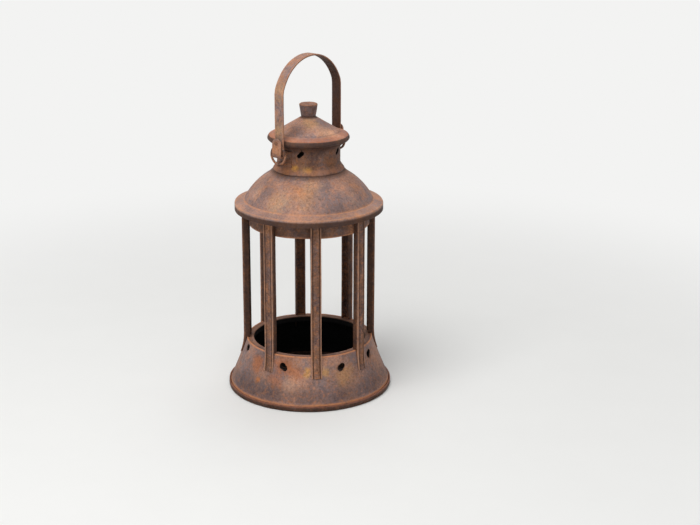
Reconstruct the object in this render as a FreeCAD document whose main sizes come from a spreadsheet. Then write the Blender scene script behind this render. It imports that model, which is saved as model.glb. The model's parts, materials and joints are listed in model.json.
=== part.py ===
import FreeCAD, Part
import os
import re

import Sketcher

# Punched tin lantern: a pierced skirt in a shallow tray, eight channel bars, a domed roof
# with a vented neck and cap, and a strap bail held by two rings.
# Millimetres, +Z up, X along the bail's swing axis, origin at the centre of the tray's underside.

DOCUMENT = FreeCAD.newDocument("punched_tin_lantern")
SHEET = DOCUMENT.addObject("Spreadsheet::Sheet", "Sizes")

# Driving dimensions, in millimetres and degrees

SIZES = {
    # Tray that the lantern stands in, and the dish that holds the candle
    "tray_radius": 80.0,
    "tray_rim_height": 5.5,
    "tray_wall": 1.2,
    "tray_bend": 0.4,
    "dish_radius": 44.0,
    "dish_flare": 1.5,
    "dish_height": 8.0,
    "dish_wall": 1.0,
    # Flared skirt and the ring soldered into its mouth
    "skirt_wall": 1.2,
    "skirt_rim_gap": 0.2,
    "skirt_foot_height": 4.6,
    "skirt_spread": 16.8,
    "skirt_curve": 390.0,
    "mouth_height": 49.2,
    "mouth_ring_width": 6.4,
    "mouth_ring_wall": 1.0,
    "mouth_ring_drop": 0.4,
    "mouth_ring_lip": 6.0,
    "hole_drop": 10.6,
    "hole_punch_radius": 2.9,
    "hole_second_radius": 2.5,
    "hole_second_across": 2.3,
    "hole_second_up": 1.7,
    # Channel bars, flared at the foot to stand on the skirt
    "bar_count": 8.0,
    "bar_start_angle": 2.25,
    "bar_stand": 2.6,
    "bar_width": 9.8,
    "bar_depth": 6.2,
    "bar_wall": 1.2,
    "bar_edge_strip": 1.7,
    "bar_groove": 0.4,
    "bar_spread": 4.4,
    "bar_foot_drop": 20.4,
    "bar_knee_rise": 4.8,
    # Collar band behind the bars' heads
    "collar_inset": 6.0,
    "collar_wall": 1.2,
    "collar_drop": 14.5,
    # Roof: edge band, sloping brim and dome, open at the top under the neck
    "window_height": 130.3,
    "roof_wall": 1.2,
    "brim_overhang": 7.6,
    "brim_bend": 0.4,
    "brim_rise": 2.5,
    "band_width": 7.0,
    "dome_foot_inset": 1.8,
    "dome_width": 33.2,
    "dome_rise": 29.6,
    "dome_curve": 65.0,
    # Neck with four slanted vent slots
    "neck_wall": 1.0,
    "neck_bore_margin": 1.4,
    "neck_foot_spread": 4.4,
    "neck_foot_drop": 2.5,
    "neck_foot_rise": 10.3,
    "neck_foot_curve": 13.0,
    "neck_waist_rise": 14.6,
    "neck_lip_spread": 5.9,
    "neck_lip_width": 1.8,
    "neck_lip_rise": 4.6,
    "slot_count": 4.0,
    "slot_start_angle": -68.75,
    "slot_drop": 2.7,
    "slot_width": 3.2,
    "slot_length": 7.7,
    "slot_slant_angle": 44.0,
    # Cap and its knob
    "cap_wall": 1.0,
    "cap_overhang": 2.8,
    "cap_hem_inset": 1.5,
    "cap_hem_width": 5.6,
    "cap_hem_rise": 1.6,
    "cap_rim_width": 1.0,
    "cap_lip_width": 1.9,
    "cap_lip_rise": 3.0,
    "cap_slope_width": 6.7,
    "cap_slope_rise": 2.2,
    "cap_rise": 17.7,
    "knob_foot_radius": 7.4,
    "knob_flare": 1.4,
    "knob_sink": 5.8,
    "knob_rise": 9.1,
    "knob_corner": 0.5,
    "knob_rivet_radius": 1.6,
    "knob_rivet_head_radius": 4.0,
    "knob_rivet_head_thickness": 1.0,
    "knob_rivet_grip": 5.0,
    # Ears on the neck, the rings through them and the strap bail
    "swing_drop": 2.2,
    "ring_wire_radius": 0.9,
    "ring_radius": 8.8,
    "ring_play": 0.3,
    "ear_thickness": 1.8,
    "ear_margin": 0.9,
    "ear_foot_width": 11.0,
    "ear_foot_thickness": 1.2,
    "ear_foot_drop": 4.4,
    "ear_foot_height": 14.8,
    "ear_rivet_radius": 0.9,
    "ear_rivet_head_radius": 1.5,
    "ear_rivet_head_thickness": 0.6,
    "ear_rivet_inset": 1.9,
    "bail_cap_gap": 0.7,
    "bail_thickness": 1.6,
    "bail_width": 10.6,
    "bail_leg_rise": 58.8,
    "bail_rise": 30.6,
    "bail_tab_rise": 15.8,
    "bail_tab_flat": 0.5,
    "bail_rivet_radius": 0.9,
    "bail_rivet_gap": 1.0,
    "bail_rivet_head_radius": 1.7,
    "bail_rivet_head_thickness": 0.7,
    # How far a cutting tool runs past what it cuts
    "overrun": 2.0,
}

# Radii and heights that follow from the sizes, each from the piece that carries it
PLACES = {
    "skirt_foot_radius": "(tray_radius - tray_wall - tray_bend - skirt_rim_gap)",
    "mouth_radius": "(skirt_foot_radius - skirt_spread)",
    "mouth_ring_bore": "(mouth_radius - mouth_ring_width)",
    "bar_radius": "(mouth_radius + bar_stand)",
    "bar_foot_height": "(mouth_height - bar_foot_drop)",
    "bar_knee_height": "(mouth_height + bar_knee_rise)",
    "collar_radius": "(bar_radius - collar_inset)",
    "collar_foot_height": "(band_foot_height - collar_drop)",
    "brim_radius": "(bar_radius + brim_overhang)",
    "band_foot_height": "(mouth_height + window_height)",
    "band_head_height": "(band_foot_height + band_width)",
    "dome_foot_radius": "(bar_radius - dome_foot_inset)",
    "dome_foot_height": "(band_head_height + brim_rise)",
    "dome_bore_radius": "(dome_foot_radius - dome_width)",
    "dome_bore_height": "(dome_foot_height + dome_rise)",
    "neck_waist_radius": "(dome_bore_radius + neck_bore_margin)",
    "neck_foot_radius": "(neck_waist_radius + neck_foot_spread)",
    "neck_foot_height": "(dome_bore_height - neck_foot_drop)",
    "neck_waist_foot_height": "(neck_foot_height + neck_foot_rise)",
    "neck_waist_head_height": "(neck_waist_foot_height + neck_waist_rise)",
    "neck_lip_radius": "(neck_waist_radius + neck_lip_spread)",
    "neck_lip_height": "(neck_waist_head_height + neck_lip_rise)",
    "slot_height": "(neck_waist_head_height - slot_drop)",
    "cap_seat_height": "(neck_lip_height + neck_wall)",
    "cap_rim_radius": "(neck_lip_radius + cap_overhang)",
    "cap_rim_foot_height": "(cap_seat_height + cap_hem_rise)",
    "cap_rim_head_height": "(cap_rim_foot_height + cap_rim_width)",
    "cap_hem_radius": "(cap_rim_radius - cap_hem_inset)",
    "cap_hem_bore": "(cap_hem_radius - cap_hem_width)",
    "cap_lip_radius": "(cap_rim_radius - cap_lip_width)",
    "cap_lip_height": "(cap_rim_head_height + cap_lip_rise)",
    "cap_fold_radius": "(cap_lip_radius - cap_slope_width)",
    "cap_fold_height": "(cap_lip_height + cap_slope_rise)",
    "cap_apex_height": "(cap_fold_height + cap_rise)",
    "knob_head_radius": "(knob_foot_radius + knob_flare)",
    "knob_foot_height": "(cap_apex_height - knob_sink)",
    "knob_head_height": "(cap_apex_height + knob_rise)",
    "swing_height": "(neck_waist_head_height - swing_drop)",
    "eye_height": "(swing_height - ring_radius)",
    "ear_foot_low_height": "(eye_height - ear_foot_drop)",
    "ear_foot_high_height": "(ear_foot_low_height + ear_foot_height)",
    "bail_spring_height": "(swing_height + bail_leg_rise)",
    "bail_crown_height": "(bail_spring_height + bail_rise)",
    "bail_tab_height": "(swing_height + bail_tab_rise)",
    "bail_tab_corner": "(bail_width / 2 - bail_tab_flat)",
}

# Hand-made unevenness, as shares of one bay between bars, of a hole's drop or of one slot's sector
BAR_TURN_SHARES = (0.0, 0.04, 0.01, 0.07, -0.11, -0.13, 0.04, 0.0)
BAR_TWIST_SHARES = (0.0, -0.03, 0.0, 0.05, 0.0, -0.18, 0.0, 0.0)
HOLE_TURN_SHARES = (0.26, 0.5, 0.5, 0.44, 0.42, 0.26, 0.35, 0.49)
HOLE_RISE_SHARES = (0.11, 0.0, 0.07, -0.07, 0.04, 0.4, 0.04, -0.11)
HOLE_SLANT_SHARES = (1.0, -1.0, 1.0, 1.0, -1.0, 0.6, -1.0, 1.0)
SLOT_TURN_SHARES = (0.06, -0.06, 0.0, 0.02)

# The bays at the back of the skirt that have no hole
WHOLE_BAYS = (2, 3)

# How near a corner has to lie to its place to be found, as a share of the sheet's thickness
SEARCH_SHARE = 0.01

for row, (alias, value) in enumerate(SIZES.items(), start=1):
    SHEET.set("A%d" % row, alias)
    SHEET.set("B%d" % row, str(value))
    SHEET.setAlias("B%d" % row, alias)
DOCUMENT.recompute()

ALIAS_PATTERN = re.compile(r"\b(" + "|".join(sorted(SIZES, key=len, reverse=True)) + r")\b")
PLACE_PATTERN = re.compile(r"\b(" + "|".join(sorted(PLACES, key=len, reverse=True)) + r")\b")
UPRIGHT = FreeCAD.Placement(FreeCAD.Vector(0, 0, 0), FreeCAD.Rotation(FreeCAD.Vector(1, 0, 0), 90))
NODES = []


def bound(formula):
    """The formula with each place written out in sizes, and each size's name pointing at its cell."""
    while PLACE_PATTERN.search(formula):
        formula = PLACE_PATTERN.sub(lambda found: PLACES[found.group(1)], formula)
    return ALIAS_PATTERN.sub(r"Sizes.\1", formula)


def number(formula):
    """What the formula gives with the sheet's present values."""
    return float(SHEET.evalExpression(bound(formula)))


def node(thing, label):
    """Names a finished sub-part and puts it on the list of files to write."""
    thing.Label = label
    NODES.append(thing)
    return thing


# Drawing with bound sketches


def bent_edge(start, end, radius, side):
    """The shorter arc from start to end; side 1 puts its centre to the left of the way, -1 to the right."""
    chord = end - start
    middle = start + chord * 0.5
    left = FreeCAD.Vector(-chord.y, chord.x, 0).normalize()
    rise = radius - (radius ** 2 - chord.Length ** 2 / 4) ** 0.5
    return Part.Arc(start, middle - left * side * rise, end)


def fix_point(sketch, edge, end, spot):
    """Holds an edge's end at its formulas, or on an axis where a formula is zero."""
    for kind, axis, formula in (("DistanceX", -2, spot[0]), ("DistanceY", -1, spot[1])):
        if formula == "0":
            sketch.addConstraint(Sketcher.Constraint("PointOnObject", edge, end, axis))
            continue
        index = sketch.addConstraint(Sketcher.Constraint(kind, -1, 1, edge, end, number(formula)))
        sketch.setExpression("Constraints[%d]" % index, bound(formula))


def draw(sketch, spots, closed=True):
    """Draws spots joined by lines, or by an arc where a spot has the radius and side of the edge it starts.

    A spot is (across, up) or (across, up, radius, side), each length a formula of named sizes.
    """
    points = [FreeCAD.Vector(number(spot[0]), number(spot[1]), 0) for spot in spots]
    edge_total = len(spots) if closed else len(spots) - 1
    ends = []
    for index in range(edge_total):
        start = points[index]
        end = points[(index + 1) % len(points)]
        spot = spots[index]
        if len(spot) == 2:
            edge = sketch.addGeometry(Part.LineSegment(start, end))
            ends.append((edge, 1, 2))
            continue
        edge = sketch.addGeometry(bent_edge(start, end, number(spot[2]), spot[3]))
        first_end = sketch.getPoint(edge, 1).distanceToPoint(start)
        second_end = sketch.getPoint(edge, 2).distanceToPoint(start)
        forward = first_end < second_end
        ends.append((edge, 1, 2) if forward else (edge, 2, 1))
        radius_index = sketch.addConstraint(Sketcher.Constraint("Radius", edge, number(spot[2])))
        sketch.setExpression("Constraints[%d]" % radius_index, bound(spot[2]))
    for index in range(edge_total if closed else edge_total - 1):
        edge, _, edge_end = ends[index]
        after, after_start, _ = ends[(index + 1) % edge_total]
        sketch.addConstraint(Sketcher.Constraint("Coincident", edge, edge_end, after, after_start))
    for index in range(edge_total):
        fix_point(sketch, ends[index][0], ends[index][1], spots[index])
    if not closed:
        fix_point(sketch, ends[-1][0], ends[-1][2], spots[-1])


def upright_sketch(name, spots, closed):
    """A sketch in the XZ plane, with the radius across and the height up."""
    sketch = DOCUMENT.addObject("Sketcher::SketchObject", name)
    sketch.Placement = UPRIGHT
    draw(sketch, spots, closed)
    DOCUMENT.recompute()
    return sketch


def turned(name, source):
    """A solid turned about the lantern's axis."""
    turning = DOCUMENT.addObject("Part::Revolution", name)
    turning.Source = source
    turning.Axis = FreeCAD.Vector(0, 0, 1)
    turning.Base = FreeCAD.Vector(0, 0, 0)
    turning.Angle = 360
    turning.Solid = True
    return turning


def turned_solid(name, spots):
    """A solid turned from a closed outline of (radius, height) spots."""
    return turned(name, upright_sketch(name + "_outline", spots, True))


def turned_sheet(name, spots, wall):
    """Sheet metal turned from its outer line; the wall lies to the right of the way the line is drawn."""
    band = DOCUMENT.addObject("Part::Offset2D", name + "_section")
    band.Source = upright_sketch(name + "_line", spots, False)
    band.setExpression("Value", bound("-(%s)" % wall))
    band.Mode = "Skin"
    band.Join = "Intersection"
    band.Fill = True
    DOCUMENT.recompute()
    return turned(name, band)


def filled(name, spots, closing):
    """The whole round space inside an outer line, closed along the axis."""
    return turned_solid(name, spots + closing)


def combined(kind, name, base, tool):
    """A cut or a common of two objects."""
    result = DOCUMENT.addObject(kind, name)
    result.Base = base
    result.Tool = tool
    return result


def fused(name, pieces):
    """One tool made of several."""
    result = DOCUMENT.addObject("Part::MultiFuse", name)
    result.Shapes = pieces
    return result


def radial_place(turn, across, up, out="0"):
    """Formula of a place whose Z points out of the lantern at a turn, X along the wall and Y up."""
    return bound(
        "placement(vector((%s) * cos(%s) + (%s) * sin(%s); (%s) * sin(%s) - (%s) * cos(%s); %s); "
        "rotation(vector(0; 0; 1); %s) * rotation(vector(1; 0; 0); 90))"
        % (across, turn, out, turn, across, turn, out, turn, up, turn)
    )


def radial_cylinder(name, radius, turn, across, up, out, reach):
    """A cylinder that points out of the lantern at a turn."""
    rod = DOCUMENT.addObject("Part::Cylinder", name)
    rod.setExpression("Radius", bound(radius))
    rod.setExpression("Height", bound(reach))
    rod.setExpression("Placement", radial_place(turn, across, up, out))
    return rod


# Tray and candle dish

TRAY_LINE = [
    ("tray_radius", "tray_rim_height"),
    ("tray_radius", "tray_wall + tray_bend", "tray_wall + tray_bend", -1),
    ("tray_radius - tray_wall - tray_bend", "0"),
    ("0", "0"),
]
node(turned_sheet("tray", TRAY_LINE, "tray_wall"), "base_tray")

DISH_LINE = [
    ("dish_radius", "tray_wall + dish_height"),
    ("dish_radius - dish_flare", "tray_wall"),
    ("0", "tray_wall"),
]
node(turned_sheet("dish", DISH_LINE, "dish_wall"), "candle_dish")

# Skirt, its punched holes and the ring in its mouth

SKIRT_LINE = [
    ("mouth_radius", "mouth_height", "skirt_curve", 1),
    ("skirt_foot_radius", "tray_wall + skirt_foot_height"),
    ("skirt_foot_radius", "tray_wall"),
]
skirt_sheet = turned_sheet("skirt_sheet", SKIRT_LINE, "skirt_wall")
skirt_full = filled("skirt_full", SKIRT_LINE, [("0", "tray_wall"), ("0", "mouth_height")])
skirt_room = combined("Part::Cut", "skirt_room", skirt_full, skirt_sheet)


def skirt_punches():
    """Two overlapping round punches for each ragged hole in the skirt, where the bay has one."""
    punches = []
    for index in range(int(number("bar_count"))):
        if index in WHOLE_BAYS:
            continue
        entry = index % len(HOLE_TURN_SHARES)
        turn = "(bar_start_angle + (%d + %.3f) * 360 / bar_count)" % (index, HOLE_TURN_SHARES[entry])
        up = "(mouth_height - hole_drop * (1 - %.3f))" % HOLE_RISE_SHARES[entry]
        second_up = up + " + hole_second_up * %.3f" % HOLE_SLANT_SHARES[entry]
        punches.append(radial_cylinder(
            "hole_%d" % index, "hole_punch_radius", turn, "0", up, "0", "tray_radius"))
        punches.append(radial_cylinder(
            "hole_again_%d" % index, "hole_second_radius", turn, "hole_second_across", second_up,
            "0", "tray_radius"))
    return fused("skirt_punches", punches)


node(combined("Part::Cut", "skirt", skirt_sheet, skirt_punches()), "skirt")

MOUTH_RING_LINE = [
    ("mouth_ring_bore", "mouth_height - mouth_ring_drop - mouth_ring_lip"),
    ("mouth_ring_bore", "mouth_height - mouth_ring_drop"),
    ("mouth_radius + overrun", "mouth_height - mouth_ring_drop"),
]
mouth_ring_sheet = turned_sheet("mouth_ring_sheet", MOUTH_RING_LINE, "mouth_ring_wall")
node(combined("Part::Common", "mouth_ring", mouth_ring_sheet, skirt_room), "mouth_ring")

# Roof, and the room under it that the collar and the bars reach up into

ROOF_LINE = [
    ("dome_bore_radius", "dome_bore_height", "dome_curve", -1),
    ("dome_foot_radius", "dome_foot_height"),
    ("brim_radius - roof_wall - brim_bend", "band_head_height", "roof_wall + brim_bend", -1),
    ("brim_radius", "band_head_height - roof_wall - brim_bend"),
    ("brim_radius", "band_foot_height"),
]
roof_sheet = turned_sheet("roof_sheet", ROOF_LINE, "roof_wall")
node(roof_sheet, "roof")
roof_full = filled("roof_full", ROOF_LINE, [("0", "band_foot_height"), ("0", "dome_bore_height")])
below_roof = turned_solid("below_roof", [
    ("brim_radius - roof_wall", "band_foot_height"),
    ("brim_radius - roof_wall", "0"),
    ("0", "0"),
    ("0", "band_foot_height"),
])
roof_room = fused("roof_room", [combined("Part::Cut", "roof_hollow", roof_full, roof_sheet), below_roof])

# Collar

collar_blank = turned_solid("collar_blank", [
    ("collar_radius", "collar_foot_height"),
    ("collar_radius", "dome_bore_height"),
    ("collar_radius - collar_wall", "dome_bore_height"),
    ("collar_radius - collar_wall", "collar_foot_height"),
])
node(combined("Part::Common", "collar", collar_blank, roof_room), "collar")
collar_full = turned_solid("collar_full", [
    ("collar_radius", "collar_foot_height"),
    ("collar_radius", "dome_bore_height"),
    ("0", "dome_bore_height"),
    ("0", "collar_foot_height"),
])

# Bars

BAR_FLARE = "(((bar_knee_height - bar_foot_height) ^ 2 + bar_spread ^ 2) / (2 * bar_spread))"
BAR_CHANNEL = "(bar_groove + bar_wall)"


def bar_side(outer, inner, head):
    """The bar's side view between two depths behind its face, straight above the knee, flared below it."""
    spots = []
    for depth, rising in ((outer, True), (inner, False)):
        reach = "(%s + %s)" % (BAR_FLARE, depth)
        foot = (
            "bar_radius + %s - %s * (%s - bar_spread) / %s" % (BAR_FLARE, reach, BAR_FLARE, BAR_FLARE),
            "bar_knee_height - %s * (bar_knee_height - bar_foot_height) / %s" % (reach, BAR_FLARE),
        )
        knee = ("bar_radius - " + depth, "bar_knee_height")
        top = ("bar_radius - " + depth, head)
        if rising:
            spots += [foot + (reach, -1), knee, top]
        else:
            spots += [top, knee + (reach, 1), foot]
    return spots


def body_sketch(body, name, spots):
    """A closed sketch on the body's own upright plane."""
    plane = [item for item in body.Origin.OriginFeatures if item.Role == "XZ_Plane"][0]
    sketch = body.newObject("Sketcher::SketchObject", name)
    sketch.AttachmentSupport = (plane, [""])
    sketch.MapMode = "FlatFace"
    DOCUMENT.recompute()
    draw(sketch, spots)
    return sketch


def middle_feature(body, kind, name, spots, length):
    """A pad or pocket that runs equally to both sides of the body's upright plane."""
    feature = body.newObject(kind, name)
    feature.Profile = body_sketch(body, name + "_sketch", spots)
    feature.setExpression("Length", bound(length))
    feature.Midplane = True
    DOCUMENT.recompute()
    return feature


def middle_body(name, spots, length):
    """A body with one pad."""
    body = DOCUMENT.addObject("PartDesign::Body", name)
    middle_feature(body, "PartDesign::Pad", name + "_pad", spots, length)
    return body


def make_bar(index, stop):
    """A channel strip with a grooved face, coped to the skirt's flare and to the collar."""
    name = "bar_strip_%d" % index
    strip = middle_body(name, bar_side("0", "bar_depth", "dome_foot_height"), "bar_width")
    head = "dome_foot_height + overrun"
    middle_feature(strip, "PartDesign::Pocket", name + "_channel",
                   bar_side(BAR_CHANNEL, "(bar_depth + overrun)", head), "bar_width - 2 * bar_wall")
    middle_feature(strip, "PartDesign::Pocket", name + "_groove",
                   bar_side("(-overrun)", "bar_groove", head), "bar_width - 2 * bar_edge_strip")
    turn_share = BAR_TURN_SHARES[index % len(BAR_TURN_SHARES)]
    twist_share = BAR_TWIST_SHARES[index % len(BAR_TWIST_SHARES)]
    turn = "(bar_start_angle + (%d + %.3f) * 360 / bar_count)" % (index, turn_share)
    twist = "(%.3f * 360 / bar_count)" % twist_share
    strip.setExpression("Placement", bound(
        "placement(vector(bar_radius * sin(%s); -bar_radius * cos(%s); 0); "
        "rotation(vector(0; 0; 1); %s + %s - 90)) * placement(vector(-bar_radius; 0; 0); "
        "rotation(vector(0; 0; 1); 0))" % (turn, turn, turn, twist)))
    headed = combined("Part::Common", "bar_headed_%d" % index, strip, roof_room)
    return combined("Part::Cut", "bar_%d" % (index + 1), headed, stop)


bar_stop = fused("bar_stop", [skirt_full, collar_full])
for bar_index in range(int(number("bar_count"))):
    node(make_bar(bar_index, bar_stop), "bar_%d" % (bar_index + 1))

# Neck, its vent slots and the ears riveted to it

NECK_LINE = [
    ("neck_lip_radius", "neck_lip_height"),
    ("neck_lip_radius - neck_lip_width", "neck_lip_height"),
    ("neck_waist_radius", "neck_waist_head_height"),
    ("neck_waist_radius", "neck_waist_foot_height", "neck_foot_curve", 1),
    ("neck_foot_radius", "neck_foot_height"),
]
neck_sheet = turned_sheet("neck_sheet", NECK_LINE, "neck_wall")
neck_full = filled("neck_full", NECK_LINE, [("0", "neck_foot_height"), ("0", "neck_lip_height")])


def vent_slots():
    """Slanted slots round the neck, each two punched ends and the cut between them."""
    tools = []
    half = "((slot_length - slot_width) / 2)"
    for index in range(int(number("slot_count"))):
        share = SLOT_TURN_SHARES[index % len(SLOT_TURN_SHARES)]
        turn = "(slot_start_angle + (%d + %.3f) * 360 / slot_count)" % (index, share)
        for sign in (-1, 1):
            tools.append(radial_cylinder(
                "slot_end_%d_%d" % (index, sign + 1), "slot_width / 2", turn,
                "%d * %s * cos(slot_slant_angle)" % (sign, half),
                "slot_height + %d * %s * sin(slot_slant_angle)" % (sign, half),
                "0", "neck_foot_radius"))
        cut = DOCUMENT.addObject("Part::Box", "slot_middle_%d" % index)
        cut.setExpression("Length", bound("slot_length - slot_width"))
        cut.setExpression("Width", bound("slot_width"))
        cut.setExpression("Height", bound("neck_foot_radius"))
        cut.setExpression("Placement", radial_place(turn, "0", "slot_height") + bound(
            " * placement(vector(0; 0; 0); rotation(vector(0; 0; 1); slot_slant_angle))"
            " * placement(vector(-%s; -slot_width / 2; 0); rotation(vector(0; 0; 1); 0))" % half))
        tools.append(cut)
    return tools


# Where the bail, the rings and the ears sit along X
LEG_INNER = "(cap_rim_radius + bail_cap_gap)"
LEG_OUTER = "(cap_rim_radius + bail_cap_gap + bail_thickness)"
RING_PLANE = "(" + LEG_OUTER + " + ring_play + ring_wire_radius)"
TAB_INNER = "(" + RING_PLANE + " + ring_play + ring_wire_radius)"
TAB_OUTER = "(" + TAB_INNER + " + bail_thickness)"
EYE_RADIUS = "(ring_wire_radius + ring_play)"
EAR_END_RADIUS = "(ring_wire_radius + ring_play + ear_margin)"
EAR_RIVET_HEIGHT = "((ear_foot_low_height + ear_foot_high_height) / 2)"
EAR_RIVET_ACROSS = "(ear_foot_width / 2 - ear_rivet_inset)"


def ear_rods(name, turn, radius, out, reach):
    """Two rods, one each side of the ear's web, where its rivets go."""
    return [
        radial_cylinder("%s_%d" % (name, sign + 1), radius, turn, "%d * %s" % (sign, EAR_RIVET_ACROSS),
                        EAR_RIVET_HEIGHT, out, reach)
        for sign in (-1, 1)
    ]


SIDES = (("left", "(-90)"), ("right", "90"))
rivet_bores = []
for side_name, side_turn in SIDES:
    rivet_bores += ear_rods("neck_bore_" + side_name, side_turn, "ear_rivet_radius", "0", "neck_foot_radius")

neck_tools = fused("neck_tools", vent_slots() + rivet_bores + [roof_full])
node(combined("Part::Cut", "neck", neck_sheet, neck_tools), "neck")

EAR_WEB = [
    ("0", "ear_foot_low_height"),
    (RING_PLANE, "eye_height - " + EAR_END_RADIUS, EAR_END_RADIUS, 1),
    (RING_PLANE + " + " + EAR_END_RADIUS, "eye_height", EAR_END_RADIUS, 1),
    (RING_PLANE, "eye_height + " + EAR_END_RADIUS),
    ("neck_waist_radius + ear_foot_thickness", "eye_height + " + EAR_END_RADIUS),
    ("neck_waist_radius", "ear_foot_high_height"),
    ("0", "ear_foot_high_height"),
]


def make_ear(side_name, side_turn):
    """A web that stands out from a foot on the neck, with an eye for the ring at its end."""
    web = middle_body("ear_web_" + side_name, EAR_WEB, "ear_thickness")
    web.setExpression("Placement", bound(
        "placement(vector(0; 0; 0); rotation(vector(0; 0; 1); %s - 90))" % side_turn))
    foot = DOCUMENT.addObject("Part::Cylinder", "ear_foot_" + side_name)
    foot.setExpression("Radius", bound("neck_waist_radius + ear_foot_thickness"))
    foot.setExpression("Height", bound("ear_foot_high_height - ear_foot_low_height"))
    foot.setExpression("Placement", bound(
        "placement(vector(0; 0; ear_foot_low_height); rotation(vector(0; 0; 1); 0))"))
    block = DOCUMENT.addObject("Part::Box", "ear_block_" + side_name)
    block.setExpression("Length", bound("ear_foot_width"))
    block.setExpression("Width", bound("ear_foot_high_height - ear_foot_low_height"))
    block.setExpression("Height", bound("tray_radius"))
    block.setExpression("Placement", radial_place(side_turn, "-ear_foot_width / 2", "ear_foot_low_height"))
    saddle = combined("Part::Common", "ear_saddle_" + side_name, foot, block)
    whole = fused("ear_whole_" + side_name, [web, saddle])
    eye = DOCUMENT.addObject("Part::Cylinder", "ear_eye_" + side_name)
    eye.setExpression("Radius", bound(EYE_RADIUS))
    eye.setExpression("Height", bound("ear_thickness + 2 * overrun"))
    eye.setExpression("Placement", bound(
        "placement(vector(%s * sin(%s); ear_thickness / 2 + overrun; eye_height); "
        "rotation(vector(1; 0; 0); 90))" % (RING_PLANE, side_turn)))
    bores = ear_rods("ear_bore_" + side_name, side_turn, "ear_rivet_radius", "0", "tray_radius")
    tools = fused("ear_tools_" + side_name, [eye, neck_full] + bores)
    return combined("Part::Cut", "ear_" + side_name, whole, tools)


ear_rivets = []
for side_name, side_turn in SIDES:
    node(make_ear(side_name, side_turn), "ear_" + side_name)
    tail = "((neck_waist_radius - neck_wall) ^ 2 - (%s + ear_rivet_head_radius) ^ 2) ^ 0.5" \
        % EAR_RIVET_ACROSS
    top = "((neck_waist_radius + ear_foot_thickness) ^ 2 - (%s - ear_rivet_head_radius) ^ 2) ^ 0.5" \
        % EAR_RIVET_ACROSS
    for shank in ear_rods("ear_shank_" + side_name, side_turn, "ear_rivet_radius", tail,
                          "(%s) - (%s) + ear_rivet_head_thickness" % (top, tail)):
        ear_rivets.append(shank)
    for head in ear_rods("ear_head_" + side_name, side_turn, "ear_rivet_head_radius", top,
                         "ear_rivet_head_thickness"):
        ear_rivets.append(head)
node(fused("ear_rivets_all", ear_rivets), "ear_rivets")

# Cap, knob and the rivet that holds the knob

CAP_LINE = [
    ("knob_rivet_radius", "cap_apex_height"),
    ("cap_fold_radius", "cap_fold_height"),
    ("cap_lip_radius", "cap_lip_height"),
    ("cap_rim_radius", "cap_rim_head_height"),
    ("cap_rim_radius", "cap_rim_foot_height"),
    ("cap_hem_radius", "cap_seat_height"),
    ("cap_hem_bore", "cap_seat_height"),
]
cap_sheet = turned_sheet("cap_sheet", CAP_LINE, "cap_wall")
cap_full = filled("cap_full", CAP_LINE, [("0", "cap_seat_height"), ("0", "cap_apex_height")])
rivet_bore = DOCUMENT.addObject("Part::Cylinder", "knob_rivet_bore")
rivet_bore.setExpression("Radius", bound("knob_rivet_radius"))
rivet_bore.setExpression("Height", bound("cap_apex_height + knob_rivet_grip"))
node(combined("Part::Cut", "cap", cap_sheet, rivet_bore), "cap")

knob_blank = turned_solid("knob_blank", [
    ("0", "knob_foot_height"),
    ("knob_foot_radius", "knob_foot_height"),
    ("knob_head_radius", "knob_head_height - knob_corner", "knob_corner", 1),
    ("knob_head_radius - knob_corner", "knob_head_height"),
    ("0", "knob_head_height"),
])
node(combined("Part::Cut", "knob", knob_blank, fused("knob_tools", [cap_full, rivet_bore])), "knob")

CAP_SLOPE = "((cap_apex_height - cap_fold_height) / (cap_fold_radius - knob_rivet_radius))"
RIVET_SEAT = "(cap_apex_height - (knob_rivet_head_radius - knob_rivet_radius) * %s - cap_wall " \
    "* (1 + %s ^ 2) ^ 0.5)" % (CAP_SLOPE, CAP_SLOPE)
node(turned_solid("knob_rivet_turned", [
    ("0", RIVET_SEAT + " - knob_rivet_head_thickness"),
    ("knob_rivet_head_radius", RIVET_SEAT + " - knob_rivet_head_thickness"),
    ("knob_rivet_head_radius", RIVET_SEAT),
    ("knob_rivet_radius", RIVET_SEAT),
    ("knob_rivet_radius", "cap_apex_height + knob_rivet_grip"),
    ("0", "cap_apex_height + knob_rivet_grip"),
]), "knob_rivet")

# Rings

for side_name, sign in (("left", -1), ("right", 1)):
    ring = DOCUMENT.addObject("Part::Torus", "ring_torus_" + side_name)
    ring.setExpression("Radius1", bound("ring_radius"))
    ring.setExpression("Radius2", bound("ring_wire_radius"))
    ring.setExpression("Placement", bound(
        "placement(vector(%d * %s; 0; swing_height); rotation(vector(0; 1; 0); 90))" % (sign, RING_PLANE)))
    node(ring, "ring_" + side_name)

# Bail: one flat strap, bent into an arch, with each end folded out and up round its ring

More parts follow.
